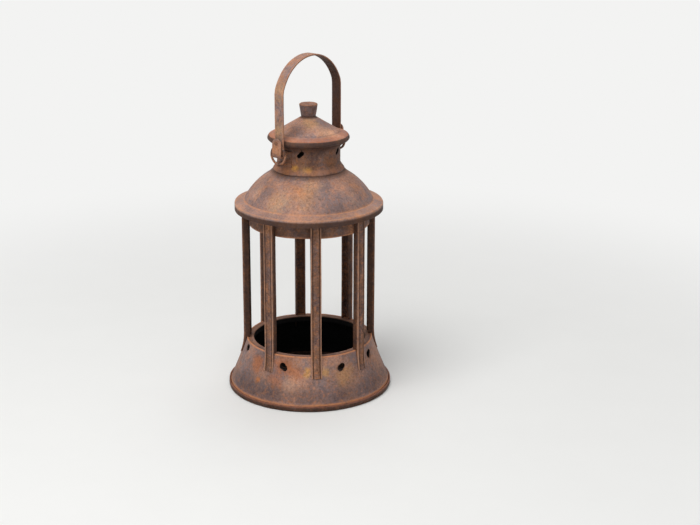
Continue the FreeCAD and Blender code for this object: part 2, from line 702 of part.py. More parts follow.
ARCH_RISE = "(bail_crown_height - bail_spring_height)"
ARCH_OUTER = "((" + LEG_OUTER + " ^ 2 + " + ARCH_RISE + " ^ 2) / (2 * " + ARCH_RISE + "))"
ARCH_INNER = "(" + ARCH_OUTER + " - bail_thickness)"
INNER_SPRING = "(bail_crown_height - %s + (%s ^ 2 - %s ^ 2) ^ 0.5)" % (ARCH_OUTER, ARCH_INNER, LEG_INNER)
FOLD_OUTER = "(ring_wire_radius + ring_play + bail_thickness)"
FOLD_INNER = "(ring_wire_radius + ring_play)"
BAIL_OUTLINE = [
    (TAB_OUTER, "bail_tab_height"),
    (TAB_OUTER, "swing_height", FOLD_OUTER, -1),
    (RING_PLANE, "swing_height - " + FOLD_OUTER, FOLD_OUTER, -1),
    (LEG_INNER, "swing_height"),
    (LEG_INNER, INNER_SPRING, ARCH_INNER, 1),
    ("0", "bail_crown_height - bail_thickness", ARCH_INNER, 1),
    ("-" + LEG_INNER, INNER_SPRING),
    ("-" + LEG_INNER, "swing_height", FOLD_OUTER, -1),
    ("-" + RING_PLANE, "swing_height - " + FOLD_OUTER, FOLD_OUTER, -1),
    ("-" + TAB_OUTER, "swing_height"),
    ("-" + TAB_OUTER, "bail_tab_height"),
    ("-" + TAB_INNER, "bail_tab_height"),
    ("-" + TAB_INNER, "swing_height", FOLD_INNER, 1),
    ("-" + RING_PLANE, "swing_height - " + FOLD_INNER, FOLD_INNER, 1),
    ("-" + LEG_OUTER, "swing_height"),
    ("-" + LEG_OUTER, "bail_spring_height", ARCH_OUTER, -1),
    ("0", "bail_crown_height", ARCH_OUTER, -1),
    (LEG_OUTER, "bail_spring_height"),
    (LEG_OUTER, "swing_height", FOLD_INNER, 1),
    (RING_PLANE, "swing_height - " + FOLD_INNER, FOLD_INNER, 1),
    (TAB_INNER, "swing_height"),
    (TAB_INNER, "bail_tab_height"),
]
bail_body = middle_body("bail_strap", BAIL_OUTLINE, "bail_width")


def tab_corners(shape):
    """Names of the four short edges at the corners of the strap's folded ends."""
    names = []
    near = number("bail_thickness") * SEARCH_SHARE
    for index, edge in enumerate(shape.Edges, start=1):
        flat = abs(edge.Length - number("bail_thickness")) < near
        at_top = abs(edge.CenterOfMass.z - number("bail_tab_height")) < near
        if flat and at_top:
            names.append("Edge%d" % index)
    return names


strap_pad = bail_body.Tip
tab_round = bail_body.newObject("PartDesign::Fillet", "tab_round")
tab_round.Base = (strap_pad, tab_corners(strap_pad.Shape))
tab_round.setExpression("Radius", bound("bail_tab_corner"))
DOCUMENT.recompute()

RIVET_HEIGHT = "(swing_height + ring_radius + ring_wire_radius + bail_rivet_gap + bail_rivet_radius)"
rivets = []
bores = []
for side_name, side_turn in SIDES:
    bores.append(radial_cylinder("bail_bore_" + side_name, "bail_rivet_radius", side_turn, "0",
                                 RIVET_HEIGHT, "0", "tray_radius"))
    rivets.append(radial_cylinder("bail_shank_" + side_name, "bail_rivet_radius", side_turn, "0",
                                  RIVET_HEIGHT, LEG_INNER, TAB_OUTER + " - " + LEG_INNER))
    rivets.append(radial_cylinder("bail_head_" + side_name, "bail_rivet_head_radius", side_turn, "0",
                                  RIVET_HEIGHT, TAB_OUTER, "bail_rivet_head_thickness"))
node(combined("Part::Cut", "bail", bail_body, fused("bail_bores", bores)), "bail_handle")
node(fused("bail_rivets_all", rivets), "bail_rivets")

# Check every object, then write each sub-part

DOCUMENT.recompute()
for thing in DOCUMENT.Objects:
    if "Invalid" in thing.State or "Error" in thing.State:
        raise RuntimeError("%s failed: %s" % (thing.Name, thing.State))
os.makedirs("parts", exist_ok=True)
for thing in NODES:
    shape = thing.Shape
    if shape.isNull() or not shape.isValid() or not shape.Solids:
        raise RuntimeError("%s has no valid solid" % thing.Label)
    box = shape.optimalBoundingBox(True, False)
    extent = (box.XMin, box.XMax, box.YMin, box.YMax, box.ZMin, box.ZMax)
    print("%-12s %d solid %9.1f mm3  x %.2f..%.2f  y %.2f..%.2f  z %.2f..%.2f" % (
        (thing.Label, len(shape.Solids), shape.Volume) + extent))
for thing in NODES:
    thing.Shape.exportStep(os.path.join("parts", thing.Label + ".step"))
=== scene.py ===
import json
from math import asin, atan2, ceil, cos, degrees, dist, hypot, pi, radians, sin, sqrt, tan, tau

import bmesh
import bpy
from mathutils import Matrix, Vector, noise


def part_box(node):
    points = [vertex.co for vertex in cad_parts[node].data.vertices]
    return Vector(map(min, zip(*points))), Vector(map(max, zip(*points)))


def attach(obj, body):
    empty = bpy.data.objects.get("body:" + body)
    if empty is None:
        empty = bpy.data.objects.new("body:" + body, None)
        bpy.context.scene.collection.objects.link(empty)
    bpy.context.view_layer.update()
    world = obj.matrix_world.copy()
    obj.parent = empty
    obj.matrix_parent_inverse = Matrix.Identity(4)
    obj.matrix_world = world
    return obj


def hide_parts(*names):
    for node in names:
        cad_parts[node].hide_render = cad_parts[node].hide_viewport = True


# Rusted tin lantern with a punched skirt, channel bars, a domed roof and a strap bail.
# Lengths are in millimetres until a mesh is made, and the frame's own boxes give the driving sizes.
# Azimuths are in degrees from the front, which faces along minus Y.

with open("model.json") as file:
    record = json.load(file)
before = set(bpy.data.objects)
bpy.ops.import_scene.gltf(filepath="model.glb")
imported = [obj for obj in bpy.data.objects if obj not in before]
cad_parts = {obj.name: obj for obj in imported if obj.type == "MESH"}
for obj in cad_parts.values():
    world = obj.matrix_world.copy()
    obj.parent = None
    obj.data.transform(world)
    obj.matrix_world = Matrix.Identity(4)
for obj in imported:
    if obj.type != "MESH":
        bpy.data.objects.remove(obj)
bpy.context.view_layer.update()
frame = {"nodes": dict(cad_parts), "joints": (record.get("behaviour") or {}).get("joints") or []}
MM = 0.001


def span(node):
    """Radius along X, highest and lowest point of a CAD node, in millimetres."""
    low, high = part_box(node)
    return high.x / MM, high.z / MM, low.z / MM


# Sizes read from the frame
TRAY_RADIUS, TRAY_RIM = span("base_tray")[:2]
SKIRT_RADIUS, MOUTH_HEIGHT, SKIRT_FOOT = span("skirt")
RING_OUTER, RING_HEAD, RING_FOOT = span("mouth_ring")
COLLAR_RADIUS, COLLAR_HEAD, COLLAR_FOOT = span("collar")
BRIM_RADIUS, DOME_HEAD, BAND_FOOT = span("roof")
NECK_LIP_RADIUS, NECK_HEAD = span("neck")[:2]
CAP_RADIUS, CAP_HEAD, CAP_FOOT = span("cap")
KNOB_RADIUS, KNOB_HEAD, KNOB_FOOT = span("knob")
BAIL_OUTER, BAIL_CROWN = span("bail_handle")[:2]
BAIL_WIDTH = 2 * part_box("bail_handle")[1].y / MM
BAIL_SWING = next(item for item in frame["joints"] if item["name"] == "bail_swing")
SWING_HEIGHT = BAIL_SWING["pos_m"][2] / MM
RING_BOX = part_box("ring_right")
WIRE_RADIUS = (RING_BOX[1].x - RING_BOX[0].x) / 2 / MM
LOOP_RADIUS = RING_BOX[1].y / MM - WIRE_RADIUS
LOOP_PLACE = (RING_BOX[1].x + RING_BOX[0].x) / 2 / MM

# Sheet metal
TIN = 1.2
THIN_TIN = 1.0
SHEET_BEND = 0.4

# Skirt and its mouth
SKIRT_CURVE = 390.0
MOUTH_RADIUS = 61.4
SKIRT_FOOT_RISE = 4.6
RING_BORE = 55.0

# Holes in the skirt: each is made by two punches, a step apart, and is drawn round the middle between them
HOLE_PLACES = (13.95, 69.75, 201.15, 238.2, 287.8, 338.2)
HOLE_HEIGHTS = (39.2, 38.6, 39.0, 42.6, 39.0, 36.4)
HOLE_SLANTS = (1.0, -1.0, -1.0, 0.6, -1.0, 1.0)
HOLE_POINTS = 40
PUNCH_RADII = (3.15, 2.7)
PUNCH_STEP = (2.4, 1.7)
PUNCH_MIDDLE = (1.15, 0.85)
PUNCH_TEAR = 0.28
PUNCH_DENT = 0.7

# Roof
BRIM_HEAD = 186.5
DOME_RADIUS = 62.2
DOME_FOOT = 189.0
DOME_CURVE = 65.0
DOME_BORE = 29.0
DOME_SHOULDER = 34.1
SHOULDER_WIDTH = 3.4

# Neck and its slots
NECK_WAIST = 30.1
NECK_FOOT_RADIUS = 34.3
NECK_SEAM = 218.2
NECK_WAIST_FOOT = 226.4
NECK_FLARE = ((30.2, 225.4), (30.6, 224.3), (31.5, 222.9), (32.6, 221.4), (33.5, 220.2), (34.1, 219.2))
NECK_WAIST_HEAD = 241.0
NECK_LIP_WIDTH = 1.8
SLOT_WIDTH = 3.8
SLOT_LENGTH = 8.2
SLOT_HEIGHT = 238.3
SLOT_SLANT = 44.0
SLOT_PLACES = (-63.4, 15.9, 111.2, 203.0)

# Cap and knob
CAP_TIP_RADIUS = 1.6
CAP_FOLD_RADIUS = 30.5
CAP_FOLD = 254.4
CAP_LIP_RADIUS = 37.2
CAP_LIP = 252.2
CAP_LIP_CURVE = 5.0
CAP_RIM_HEAD = 249.2
CAP_RIM_FOOT = 248.2
CAP_HEM_RADIUS = 37.6
CAP_HEM_BORE = 32.0
KNOB_NECK = 7.4
KNOB_AROUND = 96

# Bars: heights of their feet, how far the feet stand off the skirt, and how far they lean off the radial way
BAR_RADIUS = 64.0
BAR_WIDTH = 9.8
BAR_DEPTH = 6.2
BAR_STRIP = 1.7
BAR_GROOVE = 0.45
BAR_FEET = (30.6, 33.6, 28.8, 28.8, 28.8, 33.6, 32.4, 29.5)
BAR_PROUD = 0.9
BAR_LEANS = (-40.0, 0.0, 0.0, 0.0, 0.0, 0.0, 25.0, 0.0)
BAR_KNEE = 54.0
BAR_PLACES = (2.25, 49.05, 92.7, 140.4, 177.3, 221.4, 274.05, 317.25)
BAR_TWISTS = (0.0, -1.35, 0.0, 2.25, 0.0, -8.1, 0.0, 0.0)
BAR_SWAY = 0.28
BAR_STEPS = 64
# The two bars seen side-on, which take a darker copy of the bars' rust as painted shade
SIDE_BARS = (1, 5)

# Bail and rings; the strap and the wire are drawn a little thinner, which leaves room for their unevenness
BAIL_THICKNESS = 1.6
BAIL_SPRING = 297.6
BAIL_PLAY = 0.3
BAIL_INSET = 1.2
BAIL_SHRINK_ACROSS = 0.992
BAIL_SHRINK_THROUGH = 0.985
TAB_TOP = 254.6
TAB_CORNER = 4.8
SEEN_WIRE_RADIUS = 1.12
WIRE_SHRINK = 0.98
WIRE_UNEVEN = 0.06

# Fineness and limits of the meshes
AROUND = 256
CORNER_SHARE = 0.45
LEAST_COSINE = 0.3
NEVER_ZERO = 1e-9

# Colours, as sRGB values of 0 to 255
MAUVE = (138, 117, 114)
PLUM = (112, 88, 82)
BROWN = (142, 103, 82)
DARK_BROWN = (70, 50, 42)
ORANGE = (194, 134, 94)
# Default tone of worn edges and of painted edge highlights
EDGE_ORANGE = (206, 140, 100)
BRIGHT_ORANGE = (214, 134, 78)
OCHRE = (198, 154, 110)
GOLD = (214, 158, 102)
VIVID = (200, 118, 68)
# Tone of painted highlights, laid on as spots on the roof, cap and skirt
HIGHLIGHT = (208, 160, 130)
SLATE = (110, 98, 102)
YELLOW = (226, 164, 78)
PINK_TAN = (172, 132, 114)
GREY = (140, 124, 122)
# Tone of painted shade in seams, under rims and on faces away from the light, with some dirt
DIRT = (54, 33, 23)
# Greyer, darker tone laid on towards the skirt's foot
WASH = (100, 83, 82)
# Near black of soot and of painted shade inside the lantern
SOOT = (5, 5, 5)


def linear(colour):
    """The linear RGBA of an sRGB colour."""
    shares = [part / 255 for part in colour]
    return [s / 12.92 if s <= 0.04045 else ((s + 0.055) / 1.055) ** 2.4 for s in shares] + [1.0]


# Outlines in the plane of radius and height


def arc(start, end, radius, side, steps=16):
    """Points after start up to end on the shorter arc; side 1 puts the centre to the left of the way."""
    ax, ay = start
    bx, by = end
    dx, dy = bx - ax, by - ay
    chord = hypot(dx, dy)
    left = (-dy / chord, dx / chord)
    depth = sqrt(radius ** 2 - chord ** 2 / 4)
    cx = (ax + bx) / 2 + side * left[0] * depth
    cy = (ay + by) / 2 + side * left[1] * depth
    first = atan2(ay - cy, ax - cx)
    turn = side * 2 * asin(chord / 2 / radius)
    angles = [first + turn * step / steps for step in range(1, steps + 1)]
    return [(cx + radius * cos(angle), cy + radius * sin(angle)) for angle in angles]


def rounded(points, radius, steps=3, least_turn=25.0):
    """A closed outline whose corners become small arcs, apart from those that turn by a few degrees only."""
    result = []
    for index, point in enumerate(points):
        here = Vector(point)
        back = Vector(points[index - 1]) - here
        ahead = Vector(points[(index + 1) % len(points)]) - here
        turn = pi - back.angle(ahead)
        if degrees(turn) < least_turn:
            result.append(tuple(here))
            continue
        length = min(radius * tan(turn / 2), back.length * CORNER_SHARE, ahead.length * CORNER_SHARE)
        first = here + back.normalized() * length
        last = here + ahead.normalized() * length
        for step in range(steps + 1):
            t = step / steps
            result.append(tuple(first * (1 - t) ** 2 + here * 2 * t * (1 - t) + last * t ** 2))
    return result


def offset_line(points, distance):
    """An open line moved to the right of its way."""
    moved = []
    for index, point in enumerate(points):
        normals = []
        for a, b in ((index - 1, index), (index, index + 1)):
            if 0 <= a and b < len(points):
                way = Vector(points[b]) - Vector(points[a])
                normals.append(Vector((way.y, -way.x)).normalized())
        side = sum(normals, Vector((0, 0))).normalized()
        stretch = 1 / max(LEAST_COSINE, side.dot(normals[0]))
        moved.append(tuple(Vector(point) + side * distance * stretch))
    return moved


def sheet_outline(points, wall, bend=0.35):
    """The closed section of sheet metal whose outer line is given, the wall to the right of its way."""
    return rounded(points + offset_line(points, wall)[::-1], bend)


def even_steps(line, longest):
    """An open line with points added so that no step is longer than given."""
    result = [line[0]]
    for start, end in zip(line, line[1:]):
        steps = max(1, ceil(dist(start, end) / longest))
        for k in range(1, steps + 1):
            result.append(tuple(a + (b - a) * k / steps for a, b in zip(start, end)))
    return result


# Places round the lantern's axis


def off_axis(point):
    """A point's distance from the axis."""
    return hypot(point.x, point.y)


def outward(point):
    """The level direction from the axis to a point."""
    return Vector((point.x, point.y, 0)).normalized()


def directions(azimuth):
    """The level directions outward and across at an azimuth."""
    angle = radians(azimuth)
    return Vector((sin(angle), -cos(angle), 0)), Vector((cos(angle), sin(angle), 0))


def place(azimuth, radius, height):
    """The point at an azimuth, radius and height."""
    angle = radians(azimuth)
    return Vector((radius * sin(angle), -radius * cos(angle), height))


# Meshes


def clean(thing, merge=0.002, sharp=38.0):
    """Merges doubled points, turns the faces outward and marks the sharp edges."""
    work = bmesh.new()
    work.from_mesh(thing.data)
    bmesh.ops.remove_doubles(work, verts=work.verts, dist=merge * MM)
    bmesh.ops.dissolve_degenerate(work, edges=work.edges, dist=merge * MM)
    bmesh.ops.recalc_face_normals(work, faces=work.faces)
    for face in work.faces:
        face.smooth = True
    for edge in work.edges:
        if len(edge.link_faces) == 2:
            edge.smooth = degrees(edge.calc_face_angle(0)) < sharp
    work.to_mesh(thing.data)
    work.free()
    thing.data.update()
    return thing


def add_object(name, data):
    """A new object of the scene that shows the given data."""
    made = bpy.data.objects.new(name, data)
    bpy.context.scene.collection.objects.link(made)
    return made


def swept(name, vertices, count, closed=False):
    """A solid through sections of count points each, the last joined to the first or both ends capped."""
    total = len(vertices)
    faces = [] if closed else [tuple(range(count))[::-1], tuple(range(total - count, total))]
    for here in range(0, total if closed else total - count, count):
        there = (here + count) % total
        for index in range(count):
            after = (index + 1) % count
            faces.append((here + index, here + after, there + after, there + index))
    mesh = bpy.data.meshes.new(name)
    mesh.from_pydata([Vector(vertex) * MM for vertex in vertices], [], faces)
    mesh.update()
    return clean(add_object(name, mesh))


def lathe(name, outline, around=AROUND):
    """A closed outline turned about the lantern's axis."""
    vertices = []
    for step in range(around):
        angle = tau * step / around
        for radius, height in outline:
            vertices.append((max(radius, 0.0) * cos(angle), max(radius, 0.0) * sin(angle), height))
    return swept(name, vertices, len(outline), closed=True)


def prism(name, outline, azimuth, height, reach):
    """A prism that points out of the lantern, its outline in the plane across and up."""
    out, across = directions(azimuth)
    vertices = []
    for radius in reach:
        for x, y in outline:
            vertices.append(out * radius + across * x + Vector((0, 0, height + y)))
    return swept(name, vertices, len(outline))


def wobble(thing, amount, size, seed, lift=0.6):
    """Presses the sheet in and out by hand-made unevenness, with less of it up and down."""
    shift = Vector((seed * 17.3, seed * 5.1, seed * 9.7))
    for vertex in thing.data.vertices:
        point = vertex.co / MM
        if off_axis(point) < 1:
            continue
        push = noise.noise(point / size + shift)
        rise = noise.noise(point / size - shift)
        vertex.co += (outward(point) * push * amount + Vector((0, 0, rise * amount * lift))) * MM
    thing.data.update()


def cut(thing, tools):
    """Cuts the tools out of a mesh and removes them."""
    for tool in tools:
        modifier = thing.modifiers.new("cut", "BOOLEAN")
        modifier.operation = "DIFFERENCE"
        modifier.solver = "EXACT"
        modifier.object = tool
        evaluated = thing.evaluated_get(bpy.context.evaluated_depsgraph_get())
        mesh = bpy.data.meshes.new_from_object(evaluated)
        thing.modifiers.clear()
        old = thing.data
        thing.data = mesh
        bpy.data.meshes.remove(old)
        bpy.data.objects.remove(tool)
    return clean(thing)


# Wear with painted edge highlights, a greyer tone towards the foot, soot with painted shade, and dirt with
# painted shade: a value of 0 to 1 for each point, which the materials read


def paint(thing, **rules):
    """Stores a value for each point under each name, by a rule that takes the point in millimetres."""
    for name, rule in rules.items():
        layer = thing.data.attributes.new(name, "FLOAT", "POINT")
        for index, vertex in enumerate(thing.data.vertices):
            layer.data[index].value = rule(vertex.co / MM)
    return thing


def fall(distance, near, far):
    """1 within near, 0 beyond far and smooth between."""
    share = min(1.0, max(0.0, (far - distance) / (far - near)))
    return share * share * (3 - 2 * share)


def gap(point, line):
    """Distance from a point to the nearest of an outline's points."""
    return min(hypot(off_axis(point) - radius, point.z - height) for radius, height in line)


def near_rule(edges, reach):
    """A rule that is 1 at the given points of the outline and 0 beyond the reach."""
    return lambda point: fall(gap(point, edges), reach * 0.25, reach)


def lining_rule(line, wall, far):
    """A rule that is 1 on the inner face of a sheet whose outer line is given."""
    return lambda point: fall(wall - gap(point, line), 0.1, far)


# Materials


class Tree:
    """Short calls for building the nodes of a material or a world."""

    def __init__(self, owner):
        owner.use_nodes = True
        self.nodes = owner.node_tree.nodes
        self.links = owner.node_tree.links
        self.shader = self.nodes.get("Principled BSDF") or self.nodes["Background"]
        self.place = self.add("ShaderNodeTexCoord").outputs["Object"]

    def add(self, kind, inputs=None, **settings):
        """A node with its settings and inputs, which are values or other nodes' outputs."""
        made = self.nodes.new(kind)
        for key, value in settings.items():
            setattr(made, key, value)
        for key, value in (inputs or {}).items():
            self.feed(made.inputs[key], value)
        return made

    def feed(self, socket, value):
        """Links an output to a socket, or sets the socket's own value."""
        if isinstance(value, bpy.types.NodeSocket):
            self.links.new(value, socket)
        else:
            socket.default_value = value

    def noise(self, size, detail=6.0, rough=0.6, shift=0.0, stretch=(1, 1, 1)):
        """Noise whose features are about size millimetres across."""
        scaled = self.add("ShaderNodeMapping", {"Vector": self.place, "Scale": stretch,
                                                "Location": (shift, shift * 0.7, -shift * 0.4)})
        return self.add("ShaderNodeTexNoise", {"Vector": scaled.outputs[0], "Scale": 1 / (size * MM),
                                               "Detail": detail, "Roughness": rough}).outputs["Fac"]

    def ramp(self, value, low, high):
        """0 below low and 1 above high, smooth between; high below low turns it round."""
        return self.add("ShaderNodeMapRange", {"Value": value, "From Min": low, "From Max": high},
                        interpolation_type="SMOOTHSTEP").outputs["Result"]

    def scale(self, value, low, high, first, last):
        """A value from low to high, moved to the range from first to last."""
        return self.add("ShaderNodeMapRange", {"Value": value, "From Min": low, "From Max": high,
                                               "To Min": first, "To Max": last}).outputs["Result"]

    def maths(self, kind, *values):
        """A calculation with values or outputs."""
        return self.add("ShaderNodeMath", dict(enumerate(values)), operation=kind).outputs[0]

    def mix(self, share, first, second):
        """One colour over another by share; colours are outputs or sRGB triples."""
        made = self.add("ShaderNodeMix", data_type="RGBA")
        self.feed(made.inputs[0], share)
        for key, colour in ((6, first), (7, second)):
            self.feed(made.inputs[key], linear(colour) if isinstance(colour, tuple) else colour)
        return made.outputs[2]

    def lay(self, colour, tone, where, share):
        """A colour with a tone laid over it, by a share of a value that says where."""
        return self.mix(self.maths("MULTIPLY", where, share), colour, tone)

    def seen(self):
        """1 to the camera and in reflections, and 0 elsewhere."""
        path = self.add("ShaderNodeLightPath").outputs
        return self.maths("MAXIMUM", path["Is Camera Ray"], path["Is Glossy Ray"])

    def attribute(self, name):
        """A value stored on the mesh."""
        return self.add("ShaderNodeAttribute", attribute_name=name).outputs["Fac"]

    def spot(self, centre, radius):
        """1 near a place and 0 away from it, with a ragged edge."""
        ragged = self.noise(radius * 0.6, 8.0, 0.75, centre[0] * 0.1)
        away = self.add("ShaderNodeVectorMath", {0: self.place, 1: centre * MM}, operation="DISTANCE")
        near = self.maths("DIVIDE", away.outputs["Value"], radius * MM)
        edge = self.maths("MULTIPLY", self.maths("SUBTRACT", ragged, 0.5), SPOT_RAGGED)
        return self.ramp(self.maths("ADD", near, edge), SPOT_REACH, SPOT_REACH - SPOT_SOFTNESS)


# Spots: how ragged their edge is, how far they reach in radii and how soft they are
SPOT_RAGGED = 2.6
SPOT_REACH = 1.25
SPOT_SOFTNESS = 0.95

# Broad layers over the ground: the level that moves the layer, then the noise's size, detail, roughness and
# shift, the ends of its ramp, how far a level of 1 lowers them, and the share and tone that are laid on
RUST_LAYERS = (
    ("dark", 20, 7.0, 0.62, 3.1, 0.62, 0.84, 0.2, 0.7, PLUM),
    ("orange", 22, 8.0, 0.64, 7.7, 0.6, 0.84, 0.24, 0.8, ORANGE),
    ("ochre", 17, 8.0, 0.7, 13.9, 0.66, 0.86, 0.26, 0.65, OCHRE),
    ("veil", 12, 8.0, 0.7, 17.3, 0.46, 0.68, 0.0, 0.45, GREY),
)

# Strengths of the finer parts of the rust, of the greyer foot and of the painted shade with dirt, and how
# rough, glossy and embossed it is
WASH_SHARE = 0.8
FLECK_SHARE = 0.5
PIT_SHARE = 0.55
SAND_SPREAD = 0.45
BROAD_SPREAD = 0.3
GRIME_SHARE = 0.85
SMOOTHEST = 0.5
ROUGHEST = 0.82
SOOT_ROUGHNESS = 0.2
GLOSS = 0.16
RELIEF = 0.25


def rust(name, ground=MAUVE, second=BROWN, orange=0.45, ochre=0.1, dark=0.5, shift=0.0, grain=0.6, spots=(),
         edge=EDGE_ORANGE, edge_share=0.6, bump=0.25, lightness=1.0, cloud=1.0, stretch=(1, 1, 1), depth=0.4):
    """Rusted tin: broad clouds of grey and brown, orange and ochre bloom, fine grain, worn edges with painted
    highlights, and soot and dirt with painted shade.
    """
    material = bpy.data.materials.new(name)
    tree = Tree(material)
    clouds = tree.ramp(tree.noise(30 * cloud, 6.0, 0.58, shift, stretch), 0.4, 0.6)
    colour = tree.mix(clouds, ground, second)
    levels = {"dark": dark, "orange": orange, "ochre": ochre, "veil": 0.0}
    for level, size, detail, rough, offset, low, high, drop, share, tone in RUST_LAYERS:
        field = tree.noise(size * cloud, detail, rough, shift + offset, stretch)
        lowered = drop * levels[level]
        colour = tree.lay(colour, tone, tree.ramp(field, low - lowered, high - lowered), share)
    for azimuth, radius, height, size, tone, share in spots:
        colour = tree.lay(colour, tone, tree.spot(place(azimuth, radius, height), size), share)
    # Greyer and darker towards the skirt's foot, unevenly
    uneven = tree.ramp(tree.noise(18, 7.0, 0.65, shift + 21.0), 0.15, 0.6)
    washed = tree.maths("MULTIPLY", tree.attribute("wash"), uneven)
    colour = tree.lay(colour, WASH, washed, WASH_SHARE)
    # Fine grain: orange flecks, dark pits and a sandy spread of lightness, and a broad spread over the piece
    flecks = tree.ramp(tree.noise(3.2, 4.0, 0.8, shift + 1.3), 0.5, 0.62)
    colour = tree.lay(colour, BRIGHT_ORANGE, flecks, FLECK_SHARE * grain)
    pits = tree.ramp(tree.noise(2.8, 4.0, 0.78, shift + 5.9), 0.5, 0.64)
    colour = tree.lay(colour, DARK_BROWN, pits, PIT_SHARE * grain)
    sand = tree.noise(1.9, 3.0, 0.85, shift + 2.2)
    spread = SAND_SPREAD * grain
    sandy = tree.scale(sand, 0.3, 0.7, (1 - spread) * lightness, (1 + spread) * lightness)
    swell = tree.noise(26 * cloud, 3.0, 0.5, shift + 25.0, stretch)
    broad = tree.scale(swell, 0.36, 0.64, 1 - BROAD_SPREAD * depth, 1 + BROAD_SPREAD * depth)
    light = tree.maths("MULTIPLY", sandy, broad)
    colour = tree.add("ShaderNodeVectorMath", {0: colour, "Scale": light}, operation="SCALE").outputs[0]
    # Worn edges with painted edge highlights, broken up by noise
    breaks = tree.ramp(tree.noise(5.0, 7.0, 0.7, shift + 9.4), 0.26, 0.54)
    colour = tree.lay(colour, edge, tree.maths("MULTIPLY", tree.attribute("wear"), breaks), edge_share)
    # Painted shade with some dirt in seams, under rims and on shaded faces, then soot and painted shade
    # inside
    colour = tree.lay(colour, DIRT, tree.attribute("grime"), GRIME_SHARE)
    # Soot and painted shade: near black inside the lantern
    soot = tree.attribute("soot")
    colour = tree.mix(soot, colour, SOOT)
    dull = tree.scale(tree.noise(4.0, 6.0, 0.7, shift + 4.4), 0.3, 0.7, SMOOTHEST, ROUGHEST)
    dull = tree.maths("ADD", dull, tree.maths("MULTIPLY", soot, SOOT_ROUGHNESS))
    relief = tree.maths("ADD", tree.maths("MULTIPLY", sand, 0.45), tree.maths("MULTIPLY", pits, -0.8))
    bumps = tree.maths("MULTIPLY", tree.noise(7.0, 5.0, 0.6, shift + 8.8), 1.1)
    raised = tree.add("ShaderNodeBump", {"Height": tree.maths("ADD", relief, bumps), "Strength": bump,
                                         "Distance": RELIEF * MM})
    for socket, value in (("Base Color", colour), ("Roughness", dull), ("Metallic", 0.0),
                          ("Specular IOR Level", GLOSS), ("Normal", raised.outputs[0])):
        tree.feed(tree.shader.inputs[socket], value)
    return material


# Pieces


def dress(thing, node, material, rides_on="lantern_body"):
    """Puts a finished mesh in the place of its CAD node."""
    thing.data.materials.clear()
    thing.data.materials.append(material)
    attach(thing, rides_on)
    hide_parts(node)


def make_tray():
    """Shallow tray with a low upright rim."""
    bend = TIN + SHEET_BEND
    floor_edge = TRAY_RADIUS - TIN - SHEET_BEND
    line = [(TRAY_RADIUS, TRAY_RIM), (TRAY_RADIUS, bend)]
    line += arc(line[-1], (floor_edge, 0), bend, -1, 5)
    line = even_steps(line, 2.0) + even_steps([(floor_edge, 0), (0.0, 0.0)], 12.0)[1:]
    inner = [(0.0, TIN), (floor_edge, TIN), (TRAY_RADIUS - TIN, bend), (TRAY_RADIUS - TIN, TRAY_RIM)]
    thing = lathe("tray", rounded(line + even_steps(inner, 12.0), 0.4))
    # The foot stays flat, so only the rim is pressed
    for vertex in thing.data.vertices:
        point = vertex.co / MM
        if off_axis(point) > TRAY_RADIUS - 4:
            share = fall(TRAY_RIM - point.z, 0.0, TRAY_RIM - 1.0)
            push = noise.noise(point / 24.0) * 0.3 * share
            vertex.co += outward(point) * min(push, 0.0) * MM
            vertex.co.z += noise.noise(point / 15.0 + Vector((9, 4, 2))) * 0.2 * share * MM
    # Worn rim edge, also a painted highlight line; near black under the skirt, soot and painted shade; the
    # band darker towards the floor
    return paint(thing, wear=near_rule([(TRAY_RADIUS - 0.4, TRAY_RIM)], 1.2),
                 soot=lambda p: 0.97 * fall(off_axis(p), SKIRT_RADIUS - 3, SKIRT_RADIUS - 1),
                 grime=lambda p: 0.55 * fall(p.z, 0.5, 3.2))


def skirt_line():
    """Outer line of the skirt from its mouth to its foot."""
    top = (MOUTH_RADIUS, MOUTH_HEIGHT)
    foot = (SKIRT_RADIUS, SKIRT_FOOT + SKIRT_FOOT_RISE)
    return [top] + arc(top, foot, SKIRT_CURVE, 1, 26) + [(SKIRT_RADIUS, SKIRT_FOOT)]


def skirt_radius_at(height):
    """Outer radius of the skirt at a height."""
    line = skirt_line()
    for (r0, z0), (r1, z1) in zip(line, line[1:]):
        if z1 <= height <= z0:
            return r0 + (r1 - r0) * (z0 - height) / max(z0 - z1, NEVER_ZERO)
    return line[0][0] if height > line[0][1] else line[-1][0]


def skirt_height_at(point):
    """Height at which the skirt's outer line reaches a point's radius."""
    radius = off_axis(point)
    line = skirt_line()
    for (r0, z0), (r1, z1) in zip(line, line[1:]):
        if r0 <= radius <= r1:
            return z0 + (z1 - z0) * (radius - r0) / max(r1 - r0, NEVER_ZERO)
    return line[0][1]


def ragged_hole(index):
    """Outline of two overlapping punches with a torn edge."""
    slant = HOLE_SLANTS[index]
    middle = (PUNCH_MIDDLE[0], PUNCH_MIDDLE[1] * slant)
    punches = ((0.0, 0.0), (PUNCH_STEP[0], PUNCH_STEP[1] * slant))
    outline = []
    for step in range(HOLE_POINTS):
        angle = tau * step / HOLE_POINTS
        way = (cos(angle), sin(angle))
        reach = 0.0
        for (x, y), radius in zip(punches, PUNCH_RADII):
            ox, oy = x - middle[0], y - middle[1]
            along = way[0] * ox + way[1] * oy
            inside = radius ** 2 - (ox ** 2 + oy ** 2 - along ** 2)
            if inside > 0:
                reach = max(reach, along + sqrt(inside))
        reach += PUNCH_TEAR * noise.noise(Vector((way[0] * 2.3, way[1] * 2.3, index * 3.7)))
        outline.append((middle[0] + way[0] * reach, middle[1] + way[1] * reach))
    return outline


